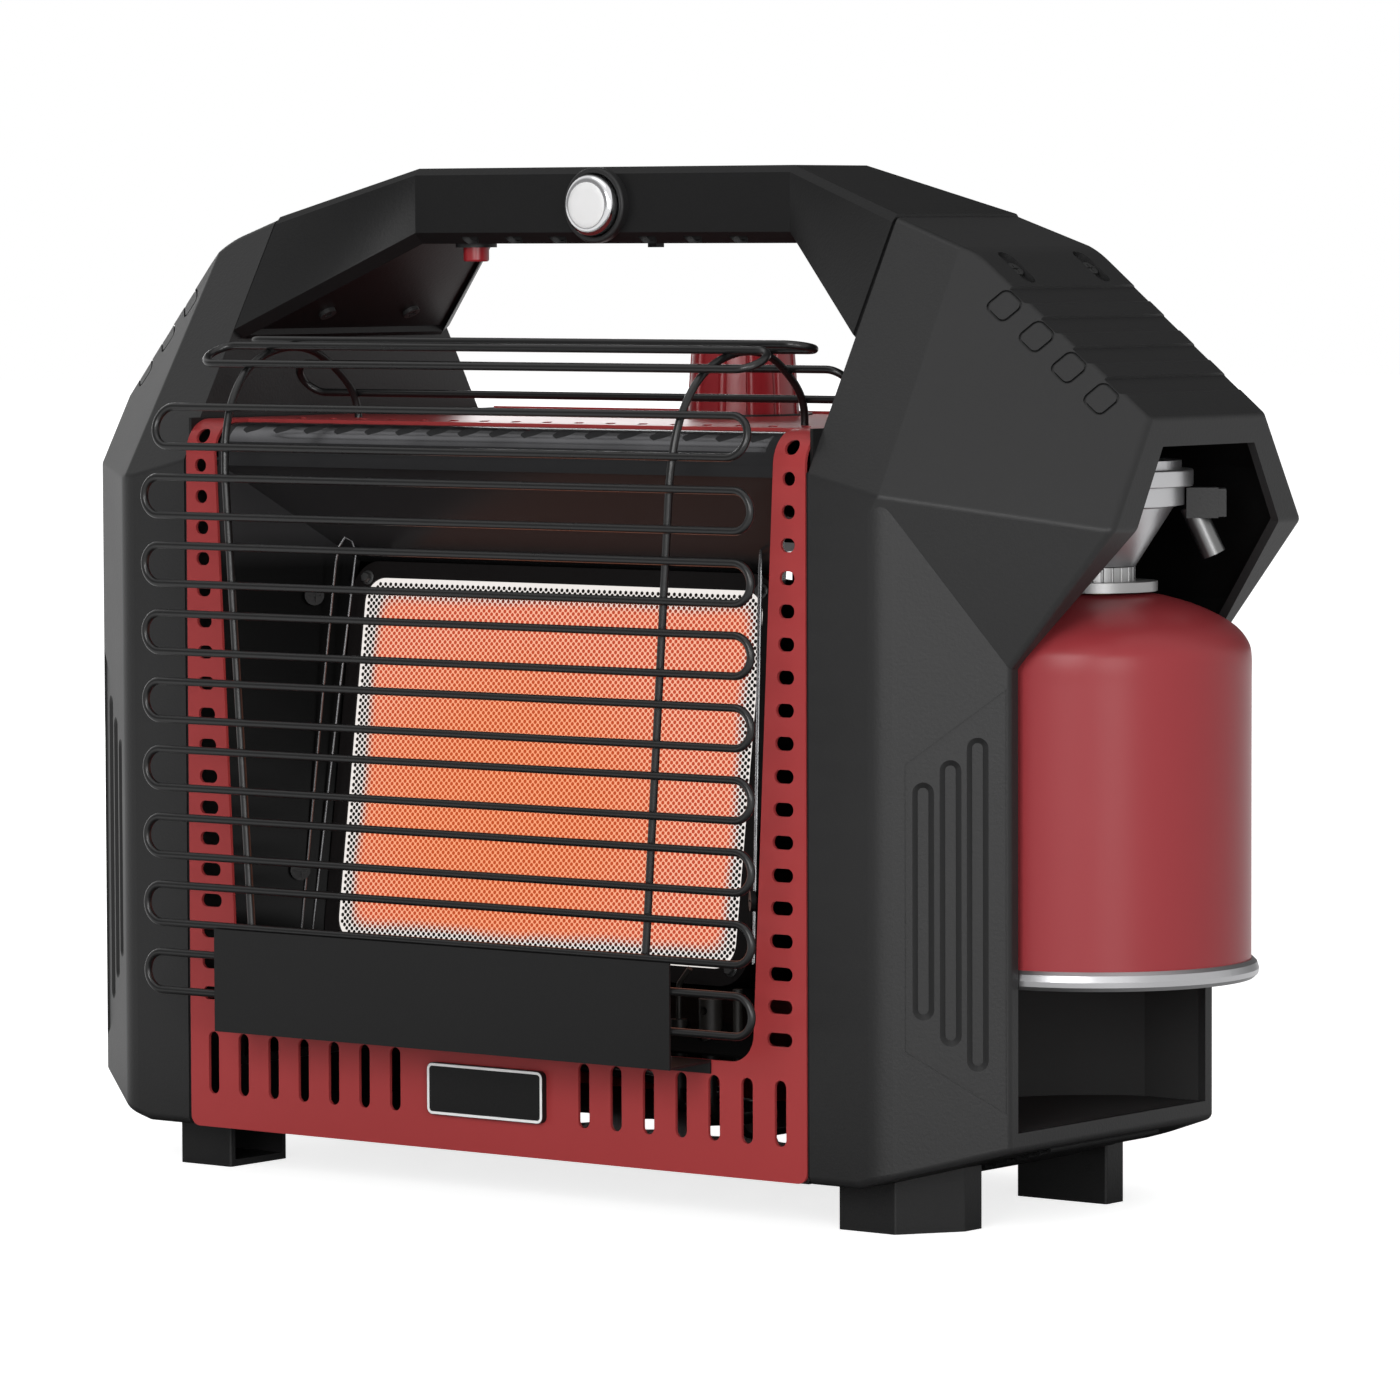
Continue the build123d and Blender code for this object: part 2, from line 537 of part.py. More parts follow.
COVER = [(-139.0, 308.9), (-BAR_X, 341.3), (BAR_X, 341.3), (139.0, 308.9), (139.0, 311.6),
         (BAR_X - 0.8, 344.0), (-BAR_X + 0.8, 344.0), (-139.0, 311.6)]
with BuildPart() as handle_cover:
    with BuildSketch(Plane.XZ.offset(-70)):
        Polygon(*COVER, align=None)
    extrude(amount=140)
    add(handle_room, mode=Mode.INTERSECT)
    for i in range(-4, 5):
        if i not in (-4, -3):
            add(disc(i * 17.0, 0, BAR_Z[0], BAR_Z[0] + 2.4, 5.0), mode=Mode.SUBTRACT)
    add(disc(*STUD, BAR_Z[0], BAR_Z[0] + 8, 6.6), mode=Mode.SUBTRACT)
    # small catch under the bar
    add(cuboid(-4, 0, 9.5, 14, BAR_Z[0] - 1.5, BAR_Z[0] + 2))
    # screw holes in the arms
    for side in (-1, 1):
        for y in (-ARM_SCREW[1], ARM_SCREW[1]):
            low, high = arm_point(side, ARM_SCREW[0], y, -4), arm_point(side, ARM_SCREW[0], y, 7)
            add(rod(run([low, high]), 1.7), mode=Mode.SUBTRACT)
    # room for the igniter's bezel
    add(rod(run([(0, -BAR_Y - 5, BUTTON_Z), (0, -BAR_Y + 6.5, BUTTON_Z)]), 12.5), mode=Mode.SUBTRACT)

def screw(foot, direction, head_r, head_h, shank_r, shank_l):
    """Pan head screw whose head stands on foot and whose shank runs the other way."""
    along = Vector(*direction).normalized()
    foot = Vector(*foot)
    with BuildPart(mode=Mode.PRIVATE) as s:
        with BuildSketch(Plane(origin=foot, z_dir=along)):
            Circle(head_r)
        extrude(amount=head_h)
        with BuildSketch(Plane(origin=foot + along * head_h, z_dir=along)):
            Rectangle(head_r * 1.3, 0.7)
            Rectangle(0.7, head_r * 1.3)
        extrude(amount=-0.7, mode=Mode.SUBTRACT)
        with BuildSketch(Plane(origin=foot, z_dir=along)):
            Circle(shank_r)
        extrude(amount=-shank_l)
    return s.part


with BuildPart() as handle_screws:
    for side in (-1, 1):
        for y in (-ARM_SCREW[1], ARM_SCREW[1]):
            foot = arm_point(side, ARM_SCREW[0], y, 0)
            add(screw(foot, (-side * sin(ARM_SLOPE), 0, -cos(ARM_SLOPE)), 3.2, 1.6, 1.6, 8))

with BuildPart() as igniter_bezel:
    add(rod(run([(0, -BAR_Y - 3.4, BUTTON_Z), (0, -BAR_Y, BUTTON_Z)]), 13.6))
    add(rod(run([(0, -BAR_Y, BUTTON_Z), (0, -BAR_Y + 6, BUTTON_Z)]), 12.2))
    add(rod(run([(0, -BAR_Y - 5, BUTTON_Z), (0, -BAR_Y + 7, BUTTON_Z)]), 11.35), mode=Mode.SUBTRACT)
    fillet(edges().group_by(Axis.Y)[0], 1.0)

with BuildPart() as igniter_button:
    add(rod(run([(0, -BAR_Y - 7.2, BUTTON_Z), (0, -BAR_Y + 3.5, BUTTON_Z)]), 11.0))
    fillet(edges().group_by(Axis.Y)[0], 2.4)
    add(rod(run([(0, -BAR_Y - 5.2, BUTTON_Z), (0, -BAR_Y + 5, BUTTON_Z)]), 9.4), mode=Mode.SUBTRACT)
    add(rod(run([(0, -BAR_Y - 5.3, BUTTON_Z), (0, -BAR_Y + 9.5, BUTTON_Z)]), 2.2))

with BuildPart() as igniter_spring:
    add(spring(0, -BAR_Y - 4.6, BUTTON_Z, 12.0, 4.6, 0.9, 6, (0, 1, 0)))

with BuildPart() as piezo_body:
    add(rod(run([(0, -12, BUTTON_Z), (0, 18.5, BUTTON_Z)]), 6.6))
    add(rod(run([(0, -13, BUTTON_Z), (0, -7, BUTTON_Z)]), 2.6), mode=Mode.SUBTRACT)
    add(cuboid(-4, 4, -8, 17, BUTTON_Z + 4, BAR_Z[1] - WALL))
    add(cuboid(-8, 8, -4, 14, BAR_Z[0] + 4, BUTTON_Z - 4))
    add(rod(run([(0, -13, BUTTON_Z), (0, -7, BUTTON_Z)]), 2.6), mode=Mode.SUBTRACT)

with BuildPart() as stud_flange:
    add(disc(*STUD, BAR_Z[0] - 1.4, BAR_Z[0] + 1.3, 7.6))
    add(disc(*STUD, BAR_Z[0] + 1.3, BAR_Z[0] + 16, 6.6))
    add(disc(*STUD, BAR_Z[0] - 3, BAR_Z[0] + 14, STUD_R + 0.35), mode=Mode.SUBTRACT)

with BuildPart() as stud_button:
    add(disc(*STUD, BAR_Z[0] - 6.6, BAR_Z[0] + 5, STUD_R))
    fillet(edges().group_by(Axis.Z)[0], 0.8)

with BuildPart() as stud_spring:
    add(spring(*STUD, BAR_Z[0] + 5.4, 8.2, 3.6, 0.8, 4, (0, 0, 1)))

# ---- burner: a tilted ceramic plaque in a steel box ------------------------------------------------
TILT = degrees(atan2(18, 129))
BURNER = Plane(origin=(0, -55.0, 152.5), x_dir=(1, 0, 0),
               z_dir=(0, -cos(radians(TILT)), sin(radians(TILT))))
PLAQUE = (183.0, 133.0, 12.0)

with BuildPart() as ceramic_plaque:
    with BuildSketch(BURNER):
        RectangleRounded(PLAQUE[0], PLAQUE[1], 9)
    extrude(amount=-PLAQUE[2])

with BuildPart() as burner_frame:
    with BuildSketch(BURNER.offset(0.8)):
        RectangleRounded(PLAQUE[0] + 12, PLAQUE[1] + 12, 12)
    extrude(amount=-30)
    with BuildSketch(BURNER.offset(1.2)):
        RectangleRounded(PLAQUE[0], PLAQUE[1], 9)
    extrude(amount=-PLAQUE[2] - 1.2, mode=Mode.SUBTRACT)
    with BuildSketch(BURNER.offset(-PLAQUE[2])):
        RectangleRounded(PLAQUE[0] - 14, PLAQUE[1] - 14, 6)
    extrude(amount=-15.5, mode=Mode.SUBTRACT)
    # inlet for the mixing tube, low on the right
    with BuildSketch(BURNER.offset(-40)):
        with Locations((62, -45)):
            Circle(9.5)
    extrude(amount=20, mode=Mode.SUBTRACT)

with BuildPart() as mixing_tube:
    with BuildSketch(BURNER.offset(-28)):
        with Locations((62, -45)):
            Circle(9.5)
    extrude(amount=-16)
    hub = BURNER * Pos(62, -45, -44)
    add(rod(run([tuple(hub.position), (62, 18, 108), (62, 30, 124), (62, 30, 160)], bend=14), 9.5))
    with BuildSketch(BURNER.offset(-20)):
        with Locations((62, -45)):
            Circle(8.3)
    extrude(amount=-24, mode=Mode.SUBTRACT)
    add(disc(62, 30, 150, 161, 8.3), mode=Mode.SUBTRACT)

REFLECT = 0.8          # sheet of the reflector
LIP_X = 126.5          # half length of its rolled lip


def hopper(grow):
    """Solid between the burner opening and the burner frame; grow widens it by the sheet."""
    with BuildPart(mode=Mode.PRIVATE) as body:
        with BuildSketch(Plane.XZ.offset(FACE_Y - SHEET)):
            Polygon((-120 - grow, 60 - grow), (120 + grow, 60 - grow), (129 + grow, 262 + grow),
                    (-129 - grow, 262 + grow), align=None)
        with BuildSketch(BURNER.offset(-2)):
            Rectangle(PLAQUE[0] + 12 + 2 * grow, PLAQUE[1] + 12 + 2 * grow)
        loft()
    return body.part


with BuildPart() as reflector:
    add(hopper(REFLECT))
    add(hopper(0), mode=Mode.SUBTRACT)
    with BuildSketch(BURNER.offset(-5)):
        Rectangle(PLAQUE[0] + 12, PLAQUE[1] + 12)
    extrude(amount=10, mode=Mode.SUBTRACT)
    # rolled lip behind the bend of the panel, with a row of notches
    with BuildSketch(Plane.YZ.offset(-LIP_X)):
        with Locations((BEND_R - FACE_Y, CREASE_Z)):
            Circle(BEND_R - SHEET)
            Circle(BEND_R - SHEET - REFLECT, mode=Mode.SUBTRACT)
            Rectangle(BEND_R, BEND_R, align=(Align.MAX, Align.MIN), mode=Mode.INTERSECT)
        with Locations((SHEET - FACE_Y, CREASE_Z)):
            Rectangle(REFLECT, 4, align=(Align.MIN, Align.MAX))
        with Locations((BEND_R - FACE_Y, DECK_Z - SHEET)):
            Rectangle(12.5, REFLECT, align=(Align.MIN, Align.MAX))
    extrude(amount=2 * LIP_X)
    for i in range(-8, 9):
        add(disc(i * PITCH, -72.5, 266, 280, 2.6), mode=Mode.SUBTRACT)

# ---- wire guard: nine rings in front, three over the top, on two arches ---------------------------------
LEG_Y = RING_Y + WIRE - 0.2
ARCH = [(LEG_Y, 258), (-111.9, 268), (-107.6, 282.5), (-97.1, 295.3), (-84.6, 301.1), (-72, 302.8),
        (-59.5, 300.7), (-48.6, 294.4), (-39.3, 284.6), (-37.6, 278.0), (-37.6, DECK_Z - SHEET)]
arch = run([(0, y, z) for y, z in ARCH], smooth=True)
TOP_RINGS = [(134.5, 0.079, 0.199), (126.0, 0.356, 0.4735), (126.0, 0.5835, 0.6945), (126.0, 0.805, 0.92)]


def lean(z):
    """Half spacing of the two arches at height z."""
    return ARCH_X[0] + (ARCH_X[1] - ARCH_X[0]) * (z - OPEN_Z) / (DECK_Z - OPEN_Z)


def outside_arch(t):
    """The (y, z) of a wire lying on the arch at the fraction t of its length."""
    ahead = arch % t
    spot = arch @ t + Vector(0, -ahead.Z, ahead.Y) * (WIRE - 0.2)
    return spot.Y, spot.Z


def ring(half, a, b):
    """Closed stadium of wire; a and b are the (y, z) of its two long sides."""
    mid = ((a[0] + b[0]) / 2, (a[1] + b[1]) / 2)
    gap = sqrt((a[0] - b[0]) ** 2 + (a[1] - b[1]) ** 2)
    frame = Plane(origin=(0, mid[0], mid[1]), x_dir=(1, 0, 0),
                  z_dir=Vector(1, 0, 0).cross(Vector(0, b[0] - a[0], b[1] - a[1])))
    side, edge = half - gap / 2, gap / 2
    with BuildLine(mode=Mode.PRIVATE) as path:
        Line((-side, -edge), (side, -edge))
        ThreePointArc((side, -edge), (half, 0), (side, edge))
        Line((side, edge), (-side, edge))
        ThreePointArc((-side, edge), (-half, 0), (-side, -edge))
    loop = frame * path.wires()[0]
    with BuildPart(mode=Mode.PRIVATE) as wire:
        with BuildSketch(Plane(origin=loop @ 0, z_dir=loop % 0)):
            Circle(WIRE / 2)
        sweep(path=loop)
    return wire.part


with BuildPart() as wire_guard:
    for k in range(1, 9):
        z = 274.2 - 24.6 * k
        add(ring(137.9, (RING_Y, z - 6.9), (RING_Y, z + 6.9)))
    for half, t0, t1 in TOP_RINGS:
        add(ring(half, outside_arch(t0), outside_arch(t1)))
    for side in (-1, 1):
        add(rod(run([(side * lean(OPEN_Z), LEG_Y, OPEN_Z), (side * lean(ARCH[0][1]), *ARCH[0])]), WIRE / 2))
        add(rod(run([(side * lean(z), y, z) for y, z in ARCH], smooth=True), WIRE / 2))

with BuildPart() as guard_plate:
    add(cuboid(-104, 104, RING_Y - WIRE / 2 - 0.8, RING_Y - WIRE / 2, 57.2, 94.2))
    with BuildSketch(Plane.XY.offset(57.2)):
        Polygon((-104, RING_Y - WIRE / 2 - 0.8), (104, RING_Y - WIRE / 2 - 0.8), (100, -FACE_Y),
                (-100, -FACE_Y), align=None)
    extrude(amount=0.8)
    # lip screwed to the panel
    add(cuboid(-100, 100, -FACE_Y - 0.8, -FACE_Y, 53.3, 58.0))
    for side in (-1, 1):
        add(rod(run([(side * GUARD_SCREW[0], -FACE_Y - 2, GUARD_SCREW[1]),
                     (side * GUARD_SCREW[0], -FACE_Y + 2, GUARD_SCREW[1])]), SCREW_R + 0.05),
            mode=Mode.SUBTRACT)

# ---- pilot group on the lower wall of the reflector, on the right --------------------------------------
PILOT = ((78, -79), (92, -79), (104, -79))         # electrode, pilot burner, thermocouple

with BuildPart() as electrode:
    add(disc(*PILOT[0], 46, 70, 3.0))
    add(rod(run([(78, -79, 69), (78, -79, 82), (83, -79, 88)], bend=3), 1.0))

with BuildPart() as pilot_burner:
    add(disc(*PILOT[1], 50, 66, 3.0))
    add(disc(*PILOT[1], 66, 78, 4.2))
    add(rod(run([(92, -79, 74), (92, -86, 74)]), 1.5), mode=Mode.SUBTRACT)

with BuildPart() as thermocouple:
    add(disc(*PILOT[2], 50, 82, 1.8))
    add(rod(run([(104, -79, 51), (104, -79, 30), (104, 61, 30), (104, 61, 231), (13, 61, 231)], bend=9), 1.2))

with BuildPart() as pilot_bracket:
    add(cuboid(70, 112, -84.2, -73.8, 54.0, 55.2))
    add(cuboid(70, 112, -74.6, -73.8, 54.0, 71.0))
    add(hopper(REFLECT), mode=Mode.SUBTRACT)
    for (x, y), r in zip(PILOT, (3.0, 3.0, 1.8)):
        add(disc(x, y, 50, 60, r), mode=Mode.SUBTRACT)

for (x, y), r in zip(PILOT, (3.1, 4.6, 1.9)):
    with reflector:
        add(disc(x, y, 50, 90, r), mode=Mode.SUBTRACT)

# ---- gas valve under the deck, with the control knob on top --------------------------------------------
with BuildPart() as knob_dish:
    add(disc(0, KNOB_Y, 268, DECK_Z, 23.9))
    add(disc(0, KNOB_Y, DECK_Z, DECK_Z + 0.7, 25.6))
    add(disc(0, KNOB_Y, 269.2, DECK_Z + 2, 22.6), mode=Mode.SUBTRACT)
    add(disc(0, KNOB_Y, 266, 271, 3.5), mode=Mode.SUBTRACT)

with BuildPart() as control_knob:
    with BuildSketch(Plane.XY.offset(274)):
        with Locations((0, KNOB_Y)):
            Circle(21.0)
    with BuildSketch(Plane.XY.offset(301.5)):
        with Locations((0, KNOB_Y)):
            Circle(19.0)
    loft()
    fillet(edges().group_by(Axis.Z)[-1], 2.5)
    for i in range(12):
        c, n = cos(radians(30 * i + 15)), sin(radians(30 * i + 15))
        add(rod(run([(21.9 * c, KNOB_Y + 21.9 * n, 272), (19.8 * c, KNOB_Y + 19.8 * n, 303)]), 1.9),
            mode=Mode.SUBTRACT)
    with BuildSketch(Plane.XY.offset(273)):
        with Locations((0, KNOB_Y)):
            Circle(17.0)
            Circle(6.0, mode=Mode.SUBTRACT)
    extrude(amount=25, mode=Mode.SUBTRACT)
    add(disc(0, KNOB_Y, 273, 293, 3.05), mode=Mode.SUBTRACT)
    # pointer ridge on the top
    add(cuboid(-1.2, 1.2, KNOB_Y - 16, KNOB_Y - 3, 301, 302.3))

with BuildPart() as valve_stem:
    add(disc(0, KNOB_Y, 250.3, 293, 3.0))
    add(disc(0, KNOB_Y, 250.3, 252, 4.2))

with BuildPart() as gas_valve:
    add(cuboid(-14, 14, KNOB_Y - 13, KNOB_Y + 13, 226, 262))
    add(disc(0, KNOB_Y, 262, 268, 7.0))
    add(disc(0, KNOB_Y, 252.6, 270, 3.07), mode=Mode.SUBTRACT)
    add(disc(0, KNOB_Y, 232, 253, 5.0), mode=Mode.SUBTRACT)
    for x0, x1, z in ((14, 22, 242), (-14, -22, 242)):
        add(rod(run([(x0, KNOB_Y, z), (x1, KNOB_Y, z)]), 5.0))
        add(rod(run([(x0 * 0.75, KNOB_Y, z), (x1 * 1.1, KNOB_Y, z)]), 3.0), mode=Mode.SUBTRACT)
    add(disc(0, KNOB_Y, 220, 226, 5.0))
    add(disc(0, KNOB_Y, 219, 230, 3.0), mode=Mode.SUBTRACT)
    add(rod(run([(12, KNOB_Y, 231), (16, KNOB_Y, 231)]), 1.2), mode=Mode.SUBTRACT)

with BuildPart() as valve_plunger:
    add(disc(0, KNOB_Y, 238, 250, 1.8))
    add(disc(0, KNOB_Y, 247, 250, 4.2))

with BuildPart() as valve_spring:
    add(spring(0, KNOB_Y, 232.4, 14.1, 3.4, 0.8, 6, (0, 0, 1)))

with BuildPart() as valve_bracket:
    add(cuboid(-34, 34, KNOB_Y - 12, KNOB_Y + 12, 262, 263.2))
    for x in (-34, 34):
        add(cuboid(x - 0.6, x + 0.6, KNOB_Y - 12, KNOB_Y + 12, 262, DECK_Z - SHEET))
        add(cuboid(x - 0.6, x + (8 if x > 0 else -8), KNOB_Y - 12, KNOB_Y + 12, DECK_Z - SHEET - 1.2,
                   DECK_Z - SHEET))
    add(disc(0, KNOB_Y, 261, 264, 7.0), mode=Mode.SUBTRACT)

with BuildPart() as supply_pipe:
    add(rod(run([(160, 0, 250), (112, 0, 250), (112, KNOB_Y, 242), (12, KNOB_Y, 242)], bend=14), 3.0, 2.0))

with BuildPart() as burner_pipe:
    add(rod(run([(0, KNOB_Y, 228), (0, KNOB_Y, 205), (62, 30, 196), (62, 30, 168)], bend=10), 3.0, 2.0))

with BuildPart() as gas_injector:
    add(disc(62, 30, 152, 160, 8.3))
    with BuildSketch(Plane.XY.offset(160)):
        with Locations((62, 30)):
            RegularPolygon(11, 6)
    extrude(amount=6)
    add(disc(62, 30, 166, 172, 5.0))
    add(disc(62, 30, 166, 173, 3.0), mode=Mode.SUBTRACT)
    add(disc(62, 30, 151, 167, 0.6), mode=Mode.SUBTRACT)

with BuildPart() as pilot_pipe:
    add(rod(run([(-12, KNOB_Y, 242), (-60, KNOB_Y, 242), (-60, 24, 225), (-60, 24, 40), (92, -40, 34),
                 (92, -79, 34), (92, -79, 50)], bend=10), 2.0, 1.2))

with BuildPart() as igniter_lead:
    add(rod(run([(-6.7, 8, BUTTON_Z), (-88, 8, BUTTON_Z - 0.5), (-124, 8, 322), (-162, 8, 322),
                 (-166, 0, 300), (-166, 0, 70), (-130, -8, 46), (70, -40, 40), (78, -79, 38),
                 (78, -79, 46)], bend=5), 1.4))

# ---- regulator and cartridge in the bay ------------------------------------------------------------------
def turned(points):
    """Solid of revolution about the cartridge axis; points are (radius, height)."""
    with BuildPart(mode=Mode.PRIVATE) as solid:
        with BuildSketch(Plane.XZ):
            Polygon(*points, align=None)
        revolve(axis=Axis.Z)
    return Pos(CAN_X, 0, 0) * solid.part


OUT = 38.0                                        # direction of the regulator's outlet, from +X
out_x, out_y = cos(radians(OUT)), sin(radians(OUT))


def outward(r, z):
    """Point at radius r from the cartridge axis in the outlet's direction."""
    return (CAN_X + r * out_x, r * out_y, z)


with BuildPart() as regulator_body:
    add(turned([(0, 228.4), (14.1, 228.4), (27.1, 248.7), (28.6, 249.2), (28.6, 256), (0, 256)]))
    add(disc(CAN_X, 0, 227, 238, 6.2), mode=Mode.SUBTRACT)

with BuildPart() as regulator_cover:
    add(turned([(0, 256), (34, 256), (34, 262), (29.9, 262), (29.9, 265), (12, 266.4), (0, 266.4)]))
    fillet(edges().filter_by(GeomType.CIRCLE).group_by(SortBy.RADIUS)[-1], 0.8)

with BuildPart() as cartridge_nut:
    add(turned([(6.2, 219.8), (21.7, 219.8), (21.7, 223.2), (13.9, 223.2), (13.9, 228.1), (6.2, 228.1)]))
    for i in range(24):
        c, n = cos(radians(15 * i)), sin(radians(15 * i))
        add(disc(CAN_X + 14.3 * c, 14.3 * n, 223.2, 229, 0.7), mode=Mode.SUBTRACT)

with BuildPart() as regulator_block:
    add(rod(run([outward(31.2, 250.2), outward(45, 250.2)]), 5.2))
    with BuildSketch(Plane(origin=outward(31.2, 250.2), x_dir=(-out_y, out_x, 0), z_dir=(out_x, out_y, 0))):
        Rectangle(13, 10.5)
    extrude(amount=11)
    with BuildSketch(Plane(origin=outward(41.8, 250.2), x_dir=(-out_y, out_x, 0), z_dir=(out_x, out_y, 0))):
        Rectangle(12, 9.6)
    extrude(amount=3.2)

with BuildPart() as regulator_outlet:
    add(rod(run([outward(33.5, 249.0), outward(41.2, 232.2)]), 4.2, 2.6))
    add(regulator_block.part, mode=Mode.SUBTRACT)

with BuildPart() as regulator_bracket:
    add(disc(CAN_X, 0, 249.6, 255.8, 31.0))
    add(cuboid(CAN_X - BAY_R, 172, -10, 10, 244.5, 255.8))
    add(regulator_body.part, mode=Mode.SUBTRACT)
    add(disc(CAN_X, 0, 240, 260, 28.6), mode=Mode.SUBTRACT)
    add(rod(run([(139, 0, 250), (161, 0, 250)]), 3.0), mode=Mode.SUBTRACT)
    add(regulator_block.part, mode=Mode.SUBTRACT)
    add(disc(CAN_X, 0, 240, 260, BAY_R), mode=Mode.INTERSECT)

with BuildPart() as cartridge_body:
    add(turned([(0, 100), (38, 95), (50.5, 90.5), (CAN_R, 90.5), (CAN_R, 198.5), (CAN_R - 1.2, 202.4),
                (49.5, 206.8), (44.0, 210.6), (35.5, 214.6), (27.0, 217.3), (20.5, 218.8), (17.5, 219.4),
                (16.0, 217.0), (5.5, 217.0), (5.5, 214.0), (0, 214.0)]))
    # hollow inside, with a steel wall
    add(turned([(0, 101.5), (38.3, 96.5), (50.7, 92.0), (CAN_R - CAN_WALL, 92.0), (CAN_R - CAN_WALL, 198.0),
                (48.2, 205.2), (34.7, 212.8), (26.3, 215.4), (18.0, 216.9), (17.0, 215.2), (7.0, 215.2),
                (7.0, 212.5), (0, 212.5)]), mode=Mode.SUBTRACT)

with BuildPart() as cartridge_rim:
    add(turned([(50.5, 87.0), (52.0, 86.0), (55.2, 86.0), (56.7, 87.4), (56.9, 89.2), (56.2, 91.4),
                (54.9, 92.6), (CAN_R, 92.6), (CAN_R, 90.5), (50.5, 90.5)]))

with BuildPart() as cartridge_valve:
    add(turned([(0, 214), (5.5, 214), (5.5, 230.5), (4.8, 231.5), (0, 231.5)]))

# ---- screws ------------------------------------------------------------------------------------------
with BuildPart() as housing_screws:
    for side, knee, end in ((1, R_KNEE, R_END), (-1, L_KNEE, L_END)):
        length = sqrt((end[0] - knee[0]) ** 2 + (end[1] - knee[1]) ** 2)
        ux, uz = (end[0] - knee[0]) / length, (end[1] - knee[1]) / length
        for y in (-22.5, 22.5):
            foot = (side * (knee[0] + 8.5 * ux + 2.2 * uz), y, knee[1] + 8.5 * uz - 2.2 * ux)
            add(screw(foot, (-side * uz, 0, ux), 3.1, 1.4, SCREW_R, 7))

with BuildPart() as reflector_screws:
    wall = PLAQUE[0] / 2 + 6
    for side in (-1, 1):
        for z in (212, 112):
            half = 120 + (z - 60) * 9 / 202
            t = 0.72
            yb = -55 + (z - 152.5) * 0.1395 - 2
            foot = (side * (half + (wall - half) * t), -87.8 + (yb + 87.8) * t, z)
            nx, ny = (yb + 87.8), (half - wall)
            size = sqrt(nx * nx + ny * ny)
            add(screw(foot, (-side * nx / size, -ny / size, 0), 3.6, 1.8, 1.4, 0.6))

with BuildPart() as rear_screws:
    for side in (-1, 1):
        for z in REAR_SCREWS:
            add(screw((side * REAR_SCREW_X, FACE_Y, z), (0, 1, 0), 3.2, 1.6, SCREW_R, 7))

with BuildPart() as guard_screws:
    for side in (-1, 1):
        add(screw((side * GUARD_SCREW[0], -FACE_Y - 0.8, GUARD_SCREW[1]), (0, -1, 0), 1.9, 1.2, SCREW_R, 6))

with BuildPart() as foot_screws:
    for x in (-FOOT_SCREW[0], FOOT_SCREW[0]):
        for y in (-FOOT_SCREW[1], FOOT_SCREW[1]):
            add(screw((x, y, BASE_Z - 2.5), (0, 0, -1), 3.2, 1.6, SCREW_R, 8))

parts = {
    "left_housing": left_housing, "right_housing": right_housing, "bay_liner": bay_liner,
    "front_panel": front_panel, "rear_panel": rear_panel, "base_plate": base_plate, "name_plate": name_plate,
    **side_plates, **feet,
    "handle_shell": handle_shell, "handle_cover": handle_cover, "handle_screws": handle_screws,
    "igniter_bezel": igniter_bezel, "igniter_button": igniter_button, "igniter_spring": igniter_spring,
    "piezo_body": piezo_body, "stud_flange": stud_flange, "stud_button": stud_button,
    "stud_spring": stud_spring, "ceramic_plaque": ceramic_plaque, "burner_frame": burner_frame,
    "mixing_tube": mixing_tube, "reflector": reflector, "wire_guard": wire_guard, "guard_plate": guard_plate,
    "electrode": electrode, "pilot_burner": pilot_burner, "thermocouple": thermocouple,
    "pilot_bracket": pilot_bracket, "knob_dish": knob_dish, "control_knob": control_knob,
    "valve_stem": valve_stem, "gas_valve": gas_valve, "valve_plunger": valve_plunger,
    "valve_spring": valve_spring, "valve_bracket": valve_bracket, "supply_pipe": supply_pipe,
    "burner_pipe": burner_pipe, "gas_injector": gas_injector, "pilot_pipe": pilot_pipe,
    "igniter_lead": igniter_lead, "regulator_body": regulator_body, "regulator_cover": regulator_cover,
    "regulator_block": regulator_block, "regulator_outlet": regulator_outlet,
    "regulator_bracket": regulator_bracket, "cartridge_nut": cartridge_nut, "cartridge_body": cartridge_body,
    "cartridge_rim": cartridge_rim, "cartridge_valve": cartridge_valve, "housing_screws": housing_screws,
    "reflector_screws": reflector_screws, "rear_screws": rear_screws, "guard_screws": guard_screws,
    "foot_screws": foot_screws,
}
for name, item in parts.items():
    item.part.label = name
    export_step(item.part, f"parts/{name}.step")
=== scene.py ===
import bmesh
import bpy
from math import atan2, cos, pi, radians, sin, sqrt
from mathutils import Matrix, Vector


